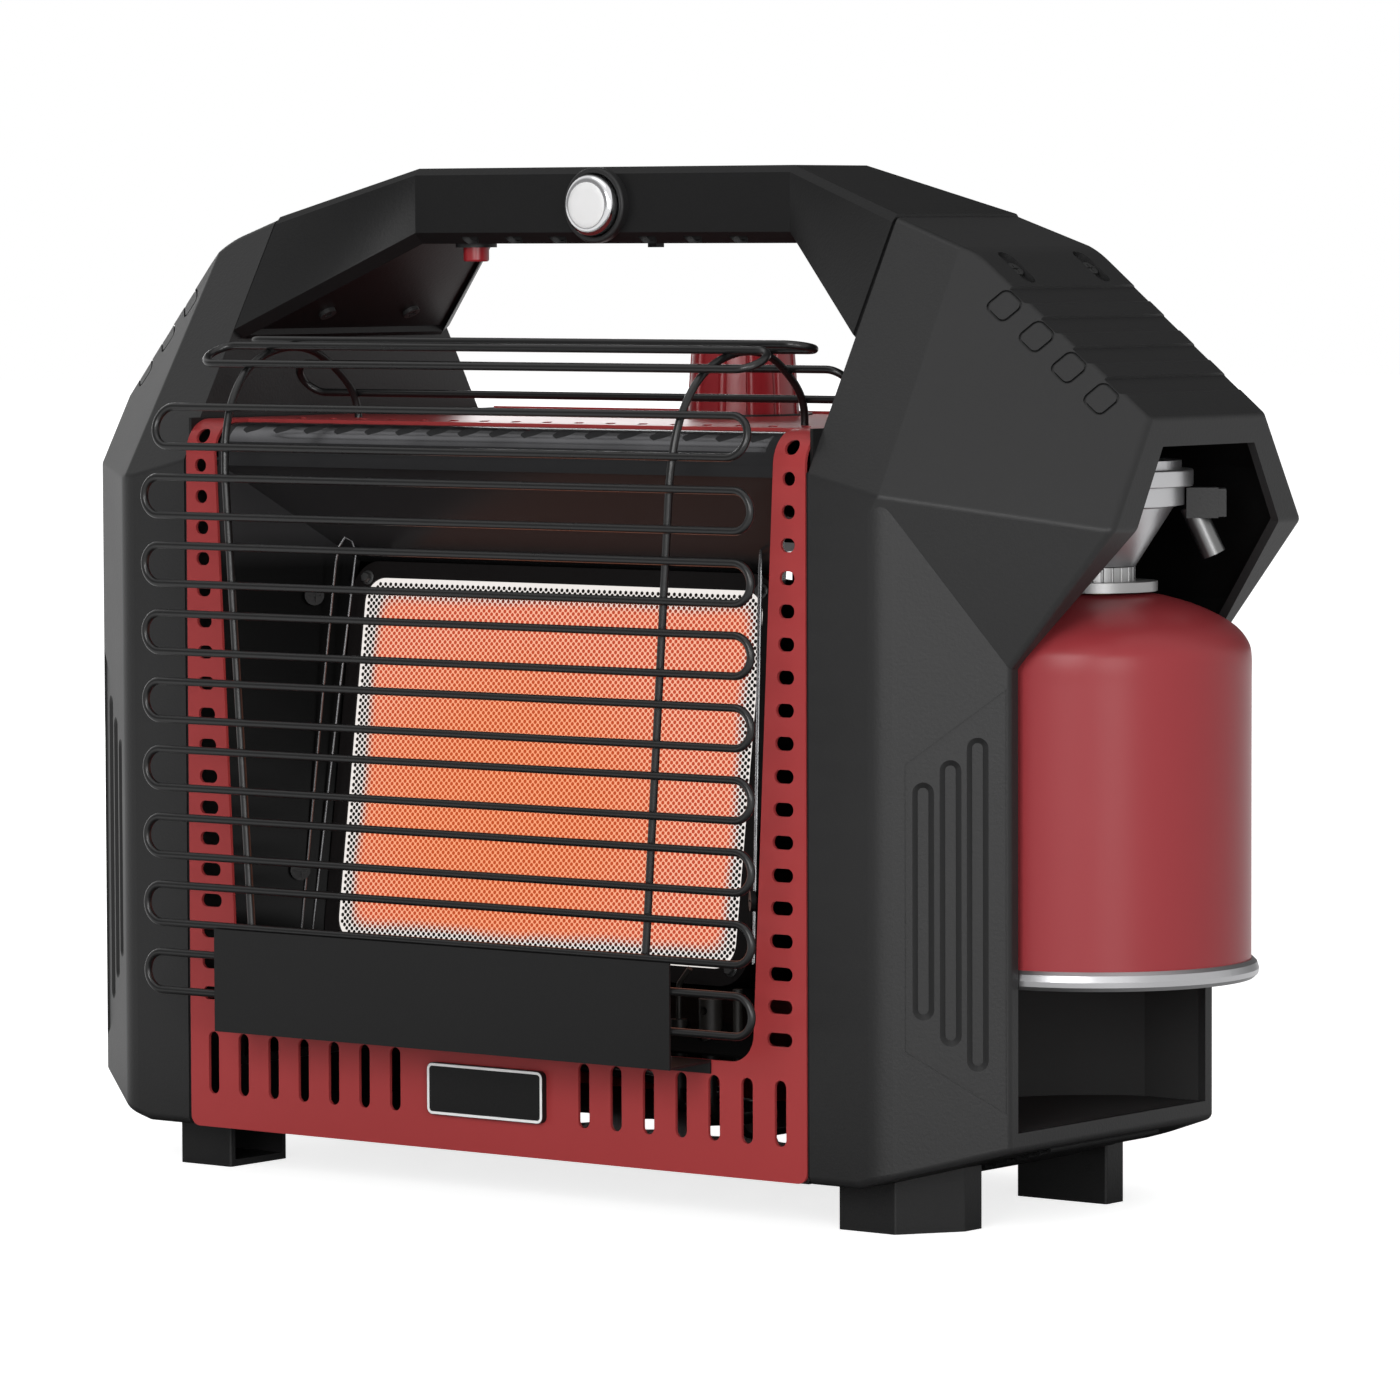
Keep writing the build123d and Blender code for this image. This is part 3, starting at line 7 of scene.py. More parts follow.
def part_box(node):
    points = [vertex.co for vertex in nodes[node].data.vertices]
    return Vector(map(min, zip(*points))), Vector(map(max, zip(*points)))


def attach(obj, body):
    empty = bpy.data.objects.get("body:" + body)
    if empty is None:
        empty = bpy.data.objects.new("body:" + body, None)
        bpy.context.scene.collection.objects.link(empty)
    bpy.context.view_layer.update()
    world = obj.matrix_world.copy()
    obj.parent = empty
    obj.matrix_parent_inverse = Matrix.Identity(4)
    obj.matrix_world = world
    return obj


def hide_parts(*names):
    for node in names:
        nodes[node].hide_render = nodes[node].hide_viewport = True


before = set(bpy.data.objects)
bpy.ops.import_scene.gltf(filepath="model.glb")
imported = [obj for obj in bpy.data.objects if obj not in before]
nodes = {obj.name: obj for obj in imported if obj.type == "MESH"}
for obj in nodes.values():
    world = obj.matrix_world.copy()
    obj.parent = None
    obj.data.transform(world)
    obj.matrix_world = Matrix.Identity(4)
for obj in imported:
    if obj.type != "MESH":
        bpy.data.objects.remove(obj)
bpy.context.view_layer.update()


# ---- camera --------------------------------------------------------------------------------------
# A long lens from the front right, level with the handle and looking slightly down. Its place is in
# metres; azimuth is counted from the front towards the right.
CAMERA_AT = Vector((1.618349, -2.053552, 0.345719))
CAMERA_AZIMUTH = radians(37.78)
CAMERA_PITCH = radians(3.752)
CAMERA_ROLL = radians(-0.2075)
CAMERA_LENS = 185.4
SENSOR_WIDTH = 36
FURTHEST_SEEN = 30

ahead = Vector((-sin(CAMERA_AZIMUTH) * cos(CAMERA_PITCH), cos(CAMERA_AZIMUTH) * cos(CAMERA_PITCH),
                -sin(CAMERA_PITCH)))
level = Vector((cos(CAMERA_AZIMUTH), sin(CAMERA_AZIMUTH), 0))
above = level.cross(ahead)
rolled_level = level * cos(CAMERA_ROLL) + above * sin(CAMERA_ROLL)
rolled_above = above * cos(CAMERA_ROLL) - level * sin(CAMERA_ROLL)
camera = bpy.data.objects.new("camera", bpy.data.cameras.new("camera"))
bpy.context.scene.collection.objects.link(camera)
camera.data.lens = CAMERA_LENS
camera.data.sensor_width = SENSOR_WIDTH
camera.data.clip_end = FURTHEST_SEEN
camera_turn = Matrix((rolled_level, rolled_above, -ahead)).transposed().to_4x4()
camera.matrix_world = Matrix.Translation(CAMERA_AT) @ camera_turn
bpy.context.scene.camera = camera


# ---- white surround ------------------------------------------------------------------------------
# A plain white room. It lights the heater softly, and mirror rays find it darker in two directions,
# above the back and at the front left, as in a studio with dark screens there.
SOFT_LIGHT = 0.34
# Each dark screen: its direction, where its fade starts and ends (cosines), and the white left in it.
SCREEN_ABOVE_BACK = ((-0.2, 0.78, 0.59), 0.6, 0.88, 0.1)
SCREEN_FRONT_LEFT = ((-0.61, -0.79, 0), 0.55, 0.9, 0.3)


def link(tree, a, b):
    """Joins an output socket to an input socket."""
    tree.links.new(a, b)


def add_node(tree, kind, **inputs):
    """A new node with some of its inputs set; an input's underscores stand for spaces."""
    node = tree.nodes.new(kind)
    for name, value in inputs.items():
        node.inputs[name.replace("_", " ")].default_value = value
    return node


def math(tree, operation, a, b=0.0, c=0.0):
    """Output of a Math node whose inputs are numbers or sockets."""
    node = tree.nodes.new("ShaderNodeMath")
    node.operation = operation
    for socket, value in zip(node.inputs, (a, b, c)):
        if isinstance(value, (int, float)):
            socket.default_value = value
        else:
            link(tree, value, socket)
    return node.outputs[0]


def vector_math(tree, operation, a, b=None):
    """Vector Math node; a is a socket, and b, where there is one, a fixed vector."""
    node = tree.nodes.new("ShaderNodeVectorMath")
    node.operation = operation
    link(tree, a, node.inputs[0])
    if b is not None:
        node.inputs[1].default_value = b
    return node


def ramp(tree, value, low, high, first=0.0, last=1.0, smooth=False):
    """Output of a Map Range from low..high to first..last."""
    node = add_node(tree, "ShaderNodeMapRange", From_Min=low, From_Max=high, To_Min=first, To_Max=last)
    if smooth:
        node.interpolation_type = "SMOOTHSTEP"
    link(tree, value, node.inputs["Value"])
    return node.outputs["Result"]


def mirror_rays(tree):
    """1 for rays that reach a thing by a mirror or through glass, 0 for all others."""
    rays = add_node(tree, "ShaderNodeLightPath")
    return math(tree, "MAXIMUM", rays.outputs["Is Glossy Ray"], rays.outputs["Is Transmission Ray"])


def past_screen(tree, ray, toward, start, end, left):
    """1 away from a dark screen, falling to what is left of the white in front of it."""
    facing = vector_math(tree, "DOT_PRODUCT", ray, toward)
    return ramp(tree, facing.outputs["Value"], start, end, 1.0, left)


world = bpy.data.worlds.new("studio")
bpy.context.scene.world = world
world.use_nodes = True
room = world.node_tree
room.nodes.clear()
soft = add_node(room, "ShaderNodeBackground", Color=(1, 1, 1, 1), Strength=SOFT_LIGHT)
plain = add_node(room, "ShaderNodeBackground", Color=(1, 1, 1, 1), Strength=1.0)
lit_or_seen = add_node(room, "ShaderNodeMixShader")
room_output = add_node(room, "ShaderNodeOutputWorld")
room_camera_ray = add_node(room, "ShaderNodeLightPath").outputs["Is Camera Ray"]
ray = add_node(room, "ShaderNodeTexCoord").outputs["Object"]
screens = math(room, "MULTIPLY", past_screen(room, ray, *SCREEN_ABOVE_BACK),
               past_screen(room, ray, *SCREEN_FRONT_LEFT))
link(room, math(room, "MAXIMUM", room_camera_ray, screens), plain.inputs["Strength"])
link(room, math(room, "MAXIMUM", room_camera_ray, mirror_rays(room)), lit_or_seen.inputs[0])
link(room, soft.outputs[0], lit_or_seen.inputs[1])
link(room, plain.outputs[0], lit_or_seen.inputs[2])
link(room, lit_or_seen.outputs[0], room_output.inputs[0])


# ---- lamps ---------------------------------------------------------------------------------------
# Large soft panels: the main one stands in front, a weaker one at the right, and the weakest ones
# hang above and stand behind on the left. Places and sizes are in metres, powers in watts.
LAMPS_AIM_AT = (0.02, 0, 0.18)
LAMPS = {
    "top_light": ((0.0, -0.6, 1.9), (1.6, 1.0), 3),
    "front_light": ((0.8, -2.3, 0.9), (1.0, 1.2), 28),
    "right_light": ((2.1, -1.7, 0.5), (1.0, 1.0), 18),
    "back_light": ((-1.8, 1.6, 0.6), (1.0, 1.0), 10),
}
for name, (place, size, power) in LAMPS.items():
    lamp = bpy.data.lights.new(name, "AREA")
    lamp.shape = "RECTANGLE"
    lamp.size, lamp.size_y = size
    lamp.energy = power
    panel = bpy.data.objects.new(name, lamp)
    bpy.context.scene.collection.objects.link(panel)
    aim = (Vector(LAMPS_AIM_AT) - Vector(place)).to_track_quat("-Z", "Y")
    panel.matrix_world = Matrix.Translation(place) @ aim.to_matrix().to_4x4()


# ---- white floor ---------------------------------------------------------------------------------
# A matt pale sheet that glows for the camera, so that it meets the surround without an edge and still
# keeps a faint shadow. In mirror rays it is white, with a painted shade right under the heater.
FLOOR_RADIUS = 14
FLOOR_GREY = 0.82
# Each glow: the distances from the middle between which it rises, then its first and last strength.
SEEN_GLOW = (0.15, 0.8, 0.78, 1.0)
# The mirror glow is dark near the middle: painted shade under the heater.
MIRROR_GLOW = (0.2, 0.42, 0.0, 1.0)

floor_mesh = bpy.data.meshes.new("floor")
sheet = bmesh.new()
bmesh.ops.create_circle(sheet, cap_ends=True, segments=96, radius=FLOOR_RADIUS)
sheet.to_mesh(floor_mesh)
sheet.free()
floor = bpy.data.objects.new("floor", floor_mesh)
bpy.context.scene.collection.objects.link(floor)
floor_paint = bpy.data.materials.new("white_floor")
floor_paint.use_nodes = True
ground = floor_paint.node_tree
ground.nodes.clear()
matt = add_node(ground, "ShaderNodeBsdfDiffuse", Color=(FLOOR_GREY, FLOOR_GREY, FLOOR_GREY, 1))
glow = add_node(ground, "ShaderNodeEmission", Color=(1, 1, 1, 1))
mirror_white_painted_shade = add_node(ground, "ShaderNodeEmission", Color=(1, 1, 1, 1))
matt_and_glow = add_node(ground, "ShaderNodeAddShader")
seen = add_node(ground, "ShaderNodeMixShader")
mirrored = add_node(ground, "ShaderNodeMixShader")
floor_output = add_node(ground, "ShaderNodeOutputMaterial")
floor_camera_ray = add_node(ground, "ShaderNodeLightPath").outputs["Is Camera Ray"]
floor_place = add_node(ground, "ShaderNodeTexCoord").outputs["Object"]
reach = vector_math(ground, "LENGTH", floor_place).outputs["Value"]
link(ground, ramp(ground, reach, *SEEN_GLOW), glow.inputs["Strength"])
link(ground, ramp(ground, reach, *MIRROR_GLOW), mirror_white_painted_shade.inputs["Strength"])
link(ground, matt.outputs[0], matt_and_glow.inputs[0])
link(ground, glow.outputs[0], matt_and_glow.inputs[1])
link(ground, floor_camera_ray, seen.inputs[0])
link(ground, matt.outputs[0], seen.inputs[1])
link(ground, matt_and_glow.outputs[0], seen.inputs[2])
link(ground, mirror_rays(ground), mirrored.inputs[0])
link(ground, seen.outputs[0], mirrored.inputs[1])
link(ground, mirror_white_painted_shade.outputs[0], mirrored.inputs[2])
link(ground, mirrored.outputs[0], floor_output.inputs[0])
floor_mesh.materials.append(floor_paint)


# ---- base plate and side walls -------------------------------------------------------------------
# The inner body is folded sheet steel, sprayed black. The rear panel is screwed to the flanges of the
# two side walls, and the base plate closes the body below.
GLOSS_VARY = 0.12         # how much a finish's roughness varies, as a share of it
GRAIN_HEIGHT = 0.0002     # in metres


def mix(tree, factor, a, b):
    """Blend of two colours, each of them a tuple or a socket."""
    node = tree.nodes.new("ShaderNodeMix")
    node.data_type = "RGBA"
    link(tree, factor, node.inputs["Factor"])
    for name, color in (("A", a), ("B", b)):
        if isinstance(color, tuple):
            node.inputs[name].default_value = (*color, 1)
        else:
            link(tree, color, node.inputs[name])
    return node.outputs["Result"]


def finish(name, color, roughness, metallic=0.0, grain=0.0, grain_scale=900, vary=0.12, vary_scale=14,
           specular=0.5, painted_light_by_height=None):
    """Finish whose colour and gloss vary a little from place to place, with a fine grain.

    painted_light_by_height is (low, high, colour), for painted light and shade by height: above the
    height low the colour turns, and at high it is the new one.
    """
    made = bpy.data.materials.new(name)
    made.use_nodes = True
    tree = made.node_tree
    shader = tree.nodes["Principled BSDF"]
    shader.inputs["Metallic"].default_value = metallic
    shader.inputs["Specular IOR Level"].default_value = specular
    place = add_node(tree, "ShaderNodeTexCoord").outputs["Object"]
    clouds = add_node(tree, "ShaderNodeTexNoise", Scale=vary_scale, Detail=4.0)
    link(tree, place, clouds.inputs["Vector"])
    cloud = clouds.outputs["Fac"]
    darker = tuple(c * (1 - vary) for c in color)
    lighter = tuple(min(1, c * (1 + vary)) for c in color)
    paint = mix(tree, cloud, darker, lighter)
    # Colour painted by height: painted light and shade.
    if painted_light_by_height:
        low, high, painted_light_color = painted_light_by_height
        split = add_node(tree, "ShaderNodeSeparateXYZ")
        link(tree, place, split.inputs[0])
        paint = mix(tree, ramp(tree, split.outputs["Z"], low, high), paint, painted_light_color)
    link(tree, paint, shader.inputs["Base Color"])
    gloss = ramp(tree, cloud, 0.0, 1.0, max(0.02, roughness * (1 - GLOSS_VARY)),
                 min(1, roughness * (1 + GLOSS_VARY)))
    link(tree, gloss, shader.inputs["Roughness"])
    if grain:
        fine = add_node(tree, "ShaderNodeTexNoise", Scale=grain_scale, Detail=2.0)
        link(tree, place, fine.inputs["Vector"])
        bump = add_node(tree, "ShaderNodeBump", Strength=grain, Distance=GRAIN_HEIGHT)
        link(tree, fine.outputs["Fac"], bump.inputs["Height"])
        link(tree, bump.outputs["Normal"], shader.inputs["Normal"])
    return made


def dress(paint, *names):
    """Gives each named part of the heater a finish."""
    for name in names:
        mesh = nodes[name].data
        mesh.materials.clear()
        mesh.materials.append(paint)


plate_black = finish("plate_black", (0.0095, 0.0095, 0.0097), 0.42, grain=0.2, specular=0.2)
dress(plate_black, "base_plate", "left_side_plate", "right_side_plate")


# ---- reflector -----------------------------------------------------------------------------------
# A dark polished steel hood round the burner, painted lighter at its top as a painted reflection. A bead,
# painted bright as a painted highlight, outlines the pressed panel of each side wall, and a notched lip,
# painted bright as a painted highlight, lies behind the front panel's bend.
MM = 0.001                # shapes are drawn in mm and brought to metres by add_piece

# Three points of the left wall's plane; the right wall is its mirror image.
WALL_FOOT = Vector((-120, -87.8, 60))
WALL_TOP = Vector((-129, -87.8, 262))
WALL_BACK = Vector((-97.5, -63, 80.4))
wall_inward = (WALL_BACK - WALL_FOOT).cross(WALL_TOP - WALL_FOOT).normalized()

# The bead's way (y, z) up the front of the pressed panel, over its top and down its back.
BEAD_ROUTE = ((-69.5, 90.2), (-60.8, 181.0), (-56.4, 224.1), (-55.4, 229.8), (-53.7, 233.2),
              (-51.9, 232.0), (-50.9, 227.6), (-56.4, 180.9), (-66.6, 89.4))
BEAD_R = 0.45
BEAD_LIFT = 0.1           # how far the bead's middle stands off the wall

LIP_AT = (-76.5, 264.0)   # y and z of the middle of the lip's curve
LIP_R = 11.36
LIP_TURN = (24.0, 76.0)   # degrees above the horizontal at its lower and upper edge
LIP_HALF = 125.5
LIP_STEPS = 16
NOTCH_COUNT = 17
NOTCH_PITCH = 14.44
NOTCH_FROM = 46.0         # degrees above the horizontal at a notch's round foot
NOTCH_HALF = 4.0
NOTCH_ROUND = 2.4
NOTCH_LEAN = 0.7          # sideways for each mm of rise


def add_piece(name, shape, body, slot, *paints, crease=35):
    """Turns a shape drawn in mm into a piece that moves with a body; faces pick a paint by number."""
    bmesh.ops.scale(shape, vec=Vector((MM, MM, MM)), verts=shape.verts)
    mesh = bpy.data.meshes.new(name)
    shape.to_mesh(mesh)
    shape.free()
    for paint in paints:
        mesh.materials.append(paint)
    mesh.polygons.foreach_set("use_smooth", [True] * len(mesh.polygons))
    mesh.set_sharp_from_angle(angle=radians(crease))
    piece = bpy.data.objects.new(name, mesh)
    bpy.context.scene.collection.objects.link(piece)
    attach(piece, body)
    return piece


def close_up(shape):
    """Merges the seams and poles of a closed shape and turns its faces outwards."""
    bmesh.ops.remove_doubles(shape, verts=shape.verts, dist=0.0005)
    bmesh.ops.recalc_face_normals(shape, faces=shape.faces)


def edges_at(verts):
    """The edges that meet some points, each of them once."""
    return list(dict.fromkeys(edge for vert in verts for edge in vert.link_edges))


def rod(shape, path, radius, steps=8):
    """Adds a round bar with closed ends along a list of points."""
    across = (path[1] - path[0]).orthogonal()
    last = len(path) - 1
    edges_before = []
    for i, spot in enumerate(path):
        along = (path[min(i + 1, last)] - path[max(i - 1, 0)]).normalized()
        across = (across - along * across.dot(along)).normalized()
        turn = Matrix((across.cross(along), across, along)).transposed().to_4x4()
        ring = bmesh.ops.create_circle(shape, cap_ends=i in (0, last), segments=steps, radius=radius,
                                       matrix=Matrix.Translation(spot) @ turn)
        edges = edges_at(ring["verts"])
        if edges_before:
            bmesh.ops.bridge_loops(shape, edges=edges_before + edges)
        edges_before = edges


def on_left_wall(y, z, lift):
    """Point that stands off the reflector's left wall at a given y and z."""
    drop = (y - WALL_FOOT.y) * wall_inward.y + (z - WALL_FOOT.z) * wall_inward.z
    return Vector((WALL_FOOT.x - drop / wall_inward.x, y, z)) + wall_inward * lift


def notched_lip():
    """Curved strip with a row of slanted round-footed notches along its upper edge."""
    shape = bmesh.new()
    for i in range(NOTCH_COUNT):
        middle = (i - NOTCH_COUNT // 2) * NOTCH_PITCH
        left = max(-LIP_HALF, middle - NOTCH_PITCH / 2)
        right = min(LIP_HALF, middle + NOTCH_PITCH / 2)
        rows = []
        for k in range(LIP_STEPS + 1):
            turn = radians(LIP_TURN[0] + (LIP_TURN[1] - LIP_TURN[0]) * k / LIP_STEPS)
            rise = max(0.0, (turn - radians(NOTCH_FROM)) * LIP_R)
            half = NOTCH_HALF * sqrt(1 - max(0.0, 1 - rise / NOTCH_ROUND) ** 2)
            notch = middle + NOTCH_LEAN * rise
            y = LIP_AT[0] - LIP_R * cos(turn)
            z = LIP_AT[1] + LIP_R * sin(turn)
            across = (left, notch - half, min(notch + half, right), right)
            rows.append([shape.verts.new((x, y, z)) for x in across])
        for low, high in zip(rows, rows[1:]):
            for a in (0, 2):
                shape.faces.new((low[a], low[a + 1], high[a + 1], high[a]))
    bmesh.ops.remove_doubles(shape, verts=shape.verts, dist=0.0005)
    return shape


# The hood is painted lighter above a set height: a painted reflection.
dark_steel = finish("dark_steel", (0.0015, 0.0015, 0.0015), 0.2, vary=0.3, specular=0.035,
                    painted_light_by_height=(0.222, 0.236, (0.024, 0.024, 0.025)))
# The beads are painted much lighter than the hood they are pressed into: a painted highlight.
bead_painted_highlight = finish("bead_painted_highlight", (0.16, 0.16, 0.165), 0.22, metallic=0.8, vary=0.3)
# The lip is painted much lighter than the hood it belongs to: a painted highlight.
lip_painted_highlight = finish("lip_painted_highlight", (0.11, 0.11, 0.115), 0.2, metallic=0.9, vary=0.4, vary_scale=40)
dress(dark_steel, "reflector")
dress(plate_black, "reflector_screws")
beads = bmesh.new()
left_bead = [on_left_wall(y, z, BEAD_LIFT) for y, z in BEAD_ROUTE]
rod(beads, left_bead, BEAD_R)
rod(beads, [Vector((-spot.x, spot.y, spot.z)) for spot in left_bead], BEAD_R)
close_up(beads)
add_piece("wall_beads", beads, "heater", "dark_steel", bead_painted_highlight)
add_piece("lip_band", notched_lip(), "heater", "dark_steel", lip_painted_highlight)


# ---- burner: cast frame, mixing tube and corner bolts --------------------------------------------
# The frame is a heat-darkened casting that holds the tile, tilted back a little. Gas and air reach it
# through the brass injector and the steel mixing tube; a flanged bolt stands at each corner.
TILT = atan2(18, 129)
BURNER_AT = Vector((0, -55, 152.5))
BOLT_PLACE = (90.4, 66.4)     # from the burner's middle
BOLT_LIFT = 0.8
BOLT_FLANGE = [(0, 0), (2.6, 0), (2.6, 0.5), (2.2, 0.7), (0, 0.7)]
BOLT_HEAD = [(0, 0.6), (2.0, 0.6), (2.0, 2.0), (1.7, 2.4), (0, 2.4)]

# The burner's own plane: x to the right, y up the slope, z out of the tile's front.
burner_plane = Matrix.Translation(BURNER_AT) @ Matrix.Rotation(pi / 2 - TILT, 4, "X")
burner_up = burner_plane.to_3x3() @ Vector((0, 1, 0))
burner_out = burner_plane.to_3x3() @ Vector((0, 0, 1))


def turn_on_lathe(shape, profile, at, axis, steps=48):
    """Adds a turned solid; its profile is (radius, height) from pole to pole along the axis."""
    axis = Vector(axis).normalized()
    side = axis.orthogonal().normalized()
    spots = [shape.verts.new(Vector(at) + axis * height + side * radius) for radius, height in profile]
    edges = [shape.edges.new(pair) for pair in zip(spots, spots[1:])]
    bmesh.ops.spin(shape, geom=spots + edges, cent=at, axis=axis, angle=2 * pi, steps=steps,
                   use_merge=True)
    close_up(shape)


dark_alloy = finish("dark_alloy", (0.006, 0.005, 0.005), 0.5, vary=0.3, grain=0.3, specular=0.1)
burnt_steel = finish("burnt_steel", (0.05, 0.045, 0.04), 0.34, metallic=1.0, vary=0.4, vary_scale=120)
brass = finish("brass", (0.70, 0.52, 0.24), 0.3, metallic=1.0)
black_screw = finish("black_screw", (0.03, 0.03, 0.03), 0.3, grain=0.1, specular=0.5)
dress(dark_alloy, "burner_frame")
dress(burnt_steel, "mixing_tube")
dress(brass, "gas_injector")
bolts = bmesh.new()
for u in (-BOLT_PLACE[0], BOLT_PLACE[0]):
    for v in (-BOLT_PLACE[1], BOLT_PLACE[1]):
        foot = burner_plane @ Vector((u, v, BOLT_LIFT))
        turn_on_lathe(bolts, BOLT_FLANGE, foot, burner_out, 24)
        turn_on_lathe(bolts, BOLT_HEAD, foot, burner_out, 6)
add_piece("burner_bolts", bolts, "heater", "black_screw", black_screw)


# ---- burner tile ---------------------------------------------------------------------------------
# A perforated ceramic tile, clamped in the frame, glowing. Its holes stand in diamonds. The surface is
# white round the edge and peach inside; deep in the holes it is dark red.
TILE = (183.0, 133.0)
TILE_R = 9.0
TILE_DEEP = 12.0
CELL = (1.215, 1.19)      # half width and half height of a hole's diamond
HOLE_R = 0.78
HOLE_DEEP = 1.6
SOLID_RIM = 1.2
# The rolled edge, from the back round the side to the floor of the holes: (inset, height).
TILE_EDGE = [(0.05, -TILE_DEEP), (0.05, 0.05), (0.12, 0.2), (0.35, 0.2), (0.45, -0.05), (0.5, -HOLE_DEEP)]

# Colours of the glowing surface and of the holes: at the edge, inside it and in the hot middle.
SURFACE_GLOW = ((0.86, 0.82, 0.79), (1.0, 0.50, 0.34), (1.0, 0.39, 0.20))
HOLE_GLOW = ((0.004, 0.003, 0.003), (0.54, 0.07, 0.03), (0.54, 0.08, 0.02))
UNLIT_TILE = (0.03, 0.025, 0.02, 1)
# In metres: the pale edge's fade, how far clouds push it in, and the hot middle's place and half size.
EDGE_FADE = (0.0070, 0.0130)
EDGE_CLOUDS = 0.006
EDGE_CORNER = 0.012
HOT_AT = (-0.020, -0.016)
HOT_HALF = (0.085, 0.068)
HOT_FADE = (1.2, 0.0)     # in half sizes, squared
CORNER_STEPS = 8          # flats of a round corner


def ember(name, edge_color, inner_color, hot_color):
    """Glow that runs from the edge's colour to the inner and the hot colour, by place on the tile."""
    made = bpy.data.materials.new(name)
    made.use_nodes = True
    tree = made.node_tree
    shader = tree.nodes["Principled BSDF"]
    shader.inputs["Roughness"].default_value = 0.9
    shader.inputs["Specular IOR Level"].default_value = 0.1
    shader.inputs["Base Color"].default_value = UNLIT_TILE
    shader.inputs["Emission Strength"].default_value = 1.0
    place = add_node(tree, "ShaderNodeTexCoord").outputs["Object"]
    from_middle = vector_math(tree, "SUBTRACT", place, BURNER_AT * MM).outputs["Vector"]
    split = add_node(tree, "ShaderNodeSeparateXYZ")
    link(tree, from_middle, split.inputs[0])
    u = split.outputs["X"]
    v = vector_math(tree, "DOT_PRODUCT", from_middle, burner_up).outputs["Value"]
    clouds = add_node(tree, "ShaderNodeTexNoise", Scale=22.0, Detail=3.0)
    link(tree, place, clouds.inputs["Vector"])

    inside_u = math(tree, "SUBTRACT", TILE[0] / 2 * MM, math(tree, "ABSOLUTE", u))
    inside_v = math(tree, "SUBTRACT", TILE[1] / 2 * MM, math(tree, "ABSOLUTE", v))
    inset = math(tree, "SMOOTH_MIN", inside_u, inside_v, EDGE_CORNER)
    inset = math(tree, "ADD", inset, math(tree, "MULTIPLY", clouds.outputs["Fac"], EDGE_CLOUDS))
    away = []
    for along, middle, half in zip((u, v), HOT_AT, HOT_HALF):
        share = math(tree, "DIVIDE", math(tree, "SUBTRACT", along, middle), half)
        away.append(math(tree, "MULTIPLY", share, share))
    hot = ramp(tree, math(tree, "ADD", *away), *HOT_FADE, smooth=True)
    inner = mix(tree, hot, inner_color, hot_color)
    glow = mix(tree, ramp(tree, inset, *EDGE_FADE, smooth=True), edge_color, inner)
    link(tree, glow, shader.inputs["Emission Color"])
    return made


def rounded_sheet(shape, width, height, radius, rise):
    """Adds a flat sheet with round corners at a height, and gives back its face."""
    place = Matrix.Translation((0, 0, rise)) @ Matrix.Diagonal((width, height, 1, 1))
    sheet = bmesh.ops.create_grid(shape, x_segments=1, y_segments=1, size=0.5, matrix=place)
    round_corners = bmesh.ops.bevel(shape, geom=sheet["verts"], affect="VERTICES", offset=radius,
                                    segments=CORNER_STEPS, profile=0.5, material=-1)
    return round_corners["verts"][0].link_faces[0]


def moulding(shape, width, height, radius, section):
    """Adds a bar that runs round a rounded rectangle, and gives back the face left inside it.

    section is (inset, height), from the outline inwards.
    """
    (inset, rise), *rest = section
    face = rounded_sheet(shape, width - 2 * inset, height - 2 * inset, radius - inset, rise)
    for next_inset, next_rise in rest:
        bmesh.ops.inset_region(shape, faces=[face], thickness=next_inset - inset, depth=next_rise - rise,
                               use_boundary=True, use_even_offset=True)
        inset, rise = next_inset, next_rise
    return face


def inset_of(u, v):
    """How far a point lies inside the tile's outline."""
    du = abs(u) - (TILE[0] / 2 - TILE_R)
    dv = abs(v) - (TILE[1] / 2 - TILE_R)
    if du > 0 and dv > 0:
        return TILE_R - sqrt(du * du + dv * dv)
    return TILE_R - max(du, dv)


def pulled_in(u, v):
    """The point itself, or the nearest one on the tile's outline when it lies outside."""
    if inset_of(u, v) >= 0:
        return u, v
    cu = max(-TILE[0] / 2 + TILE_R, min(TILE[0] / 2 - TILE_R, u))
    cv = max(-TILE[1] / 2 + TILE_R, min(TILE[1] / 2 - TILE_R, v))
    du, dv = u - cu, v - cv
    size = sqrt(du * du + dv * dv)
    return cu + du / size * TILE_R, cv + dv / size * TILE_R


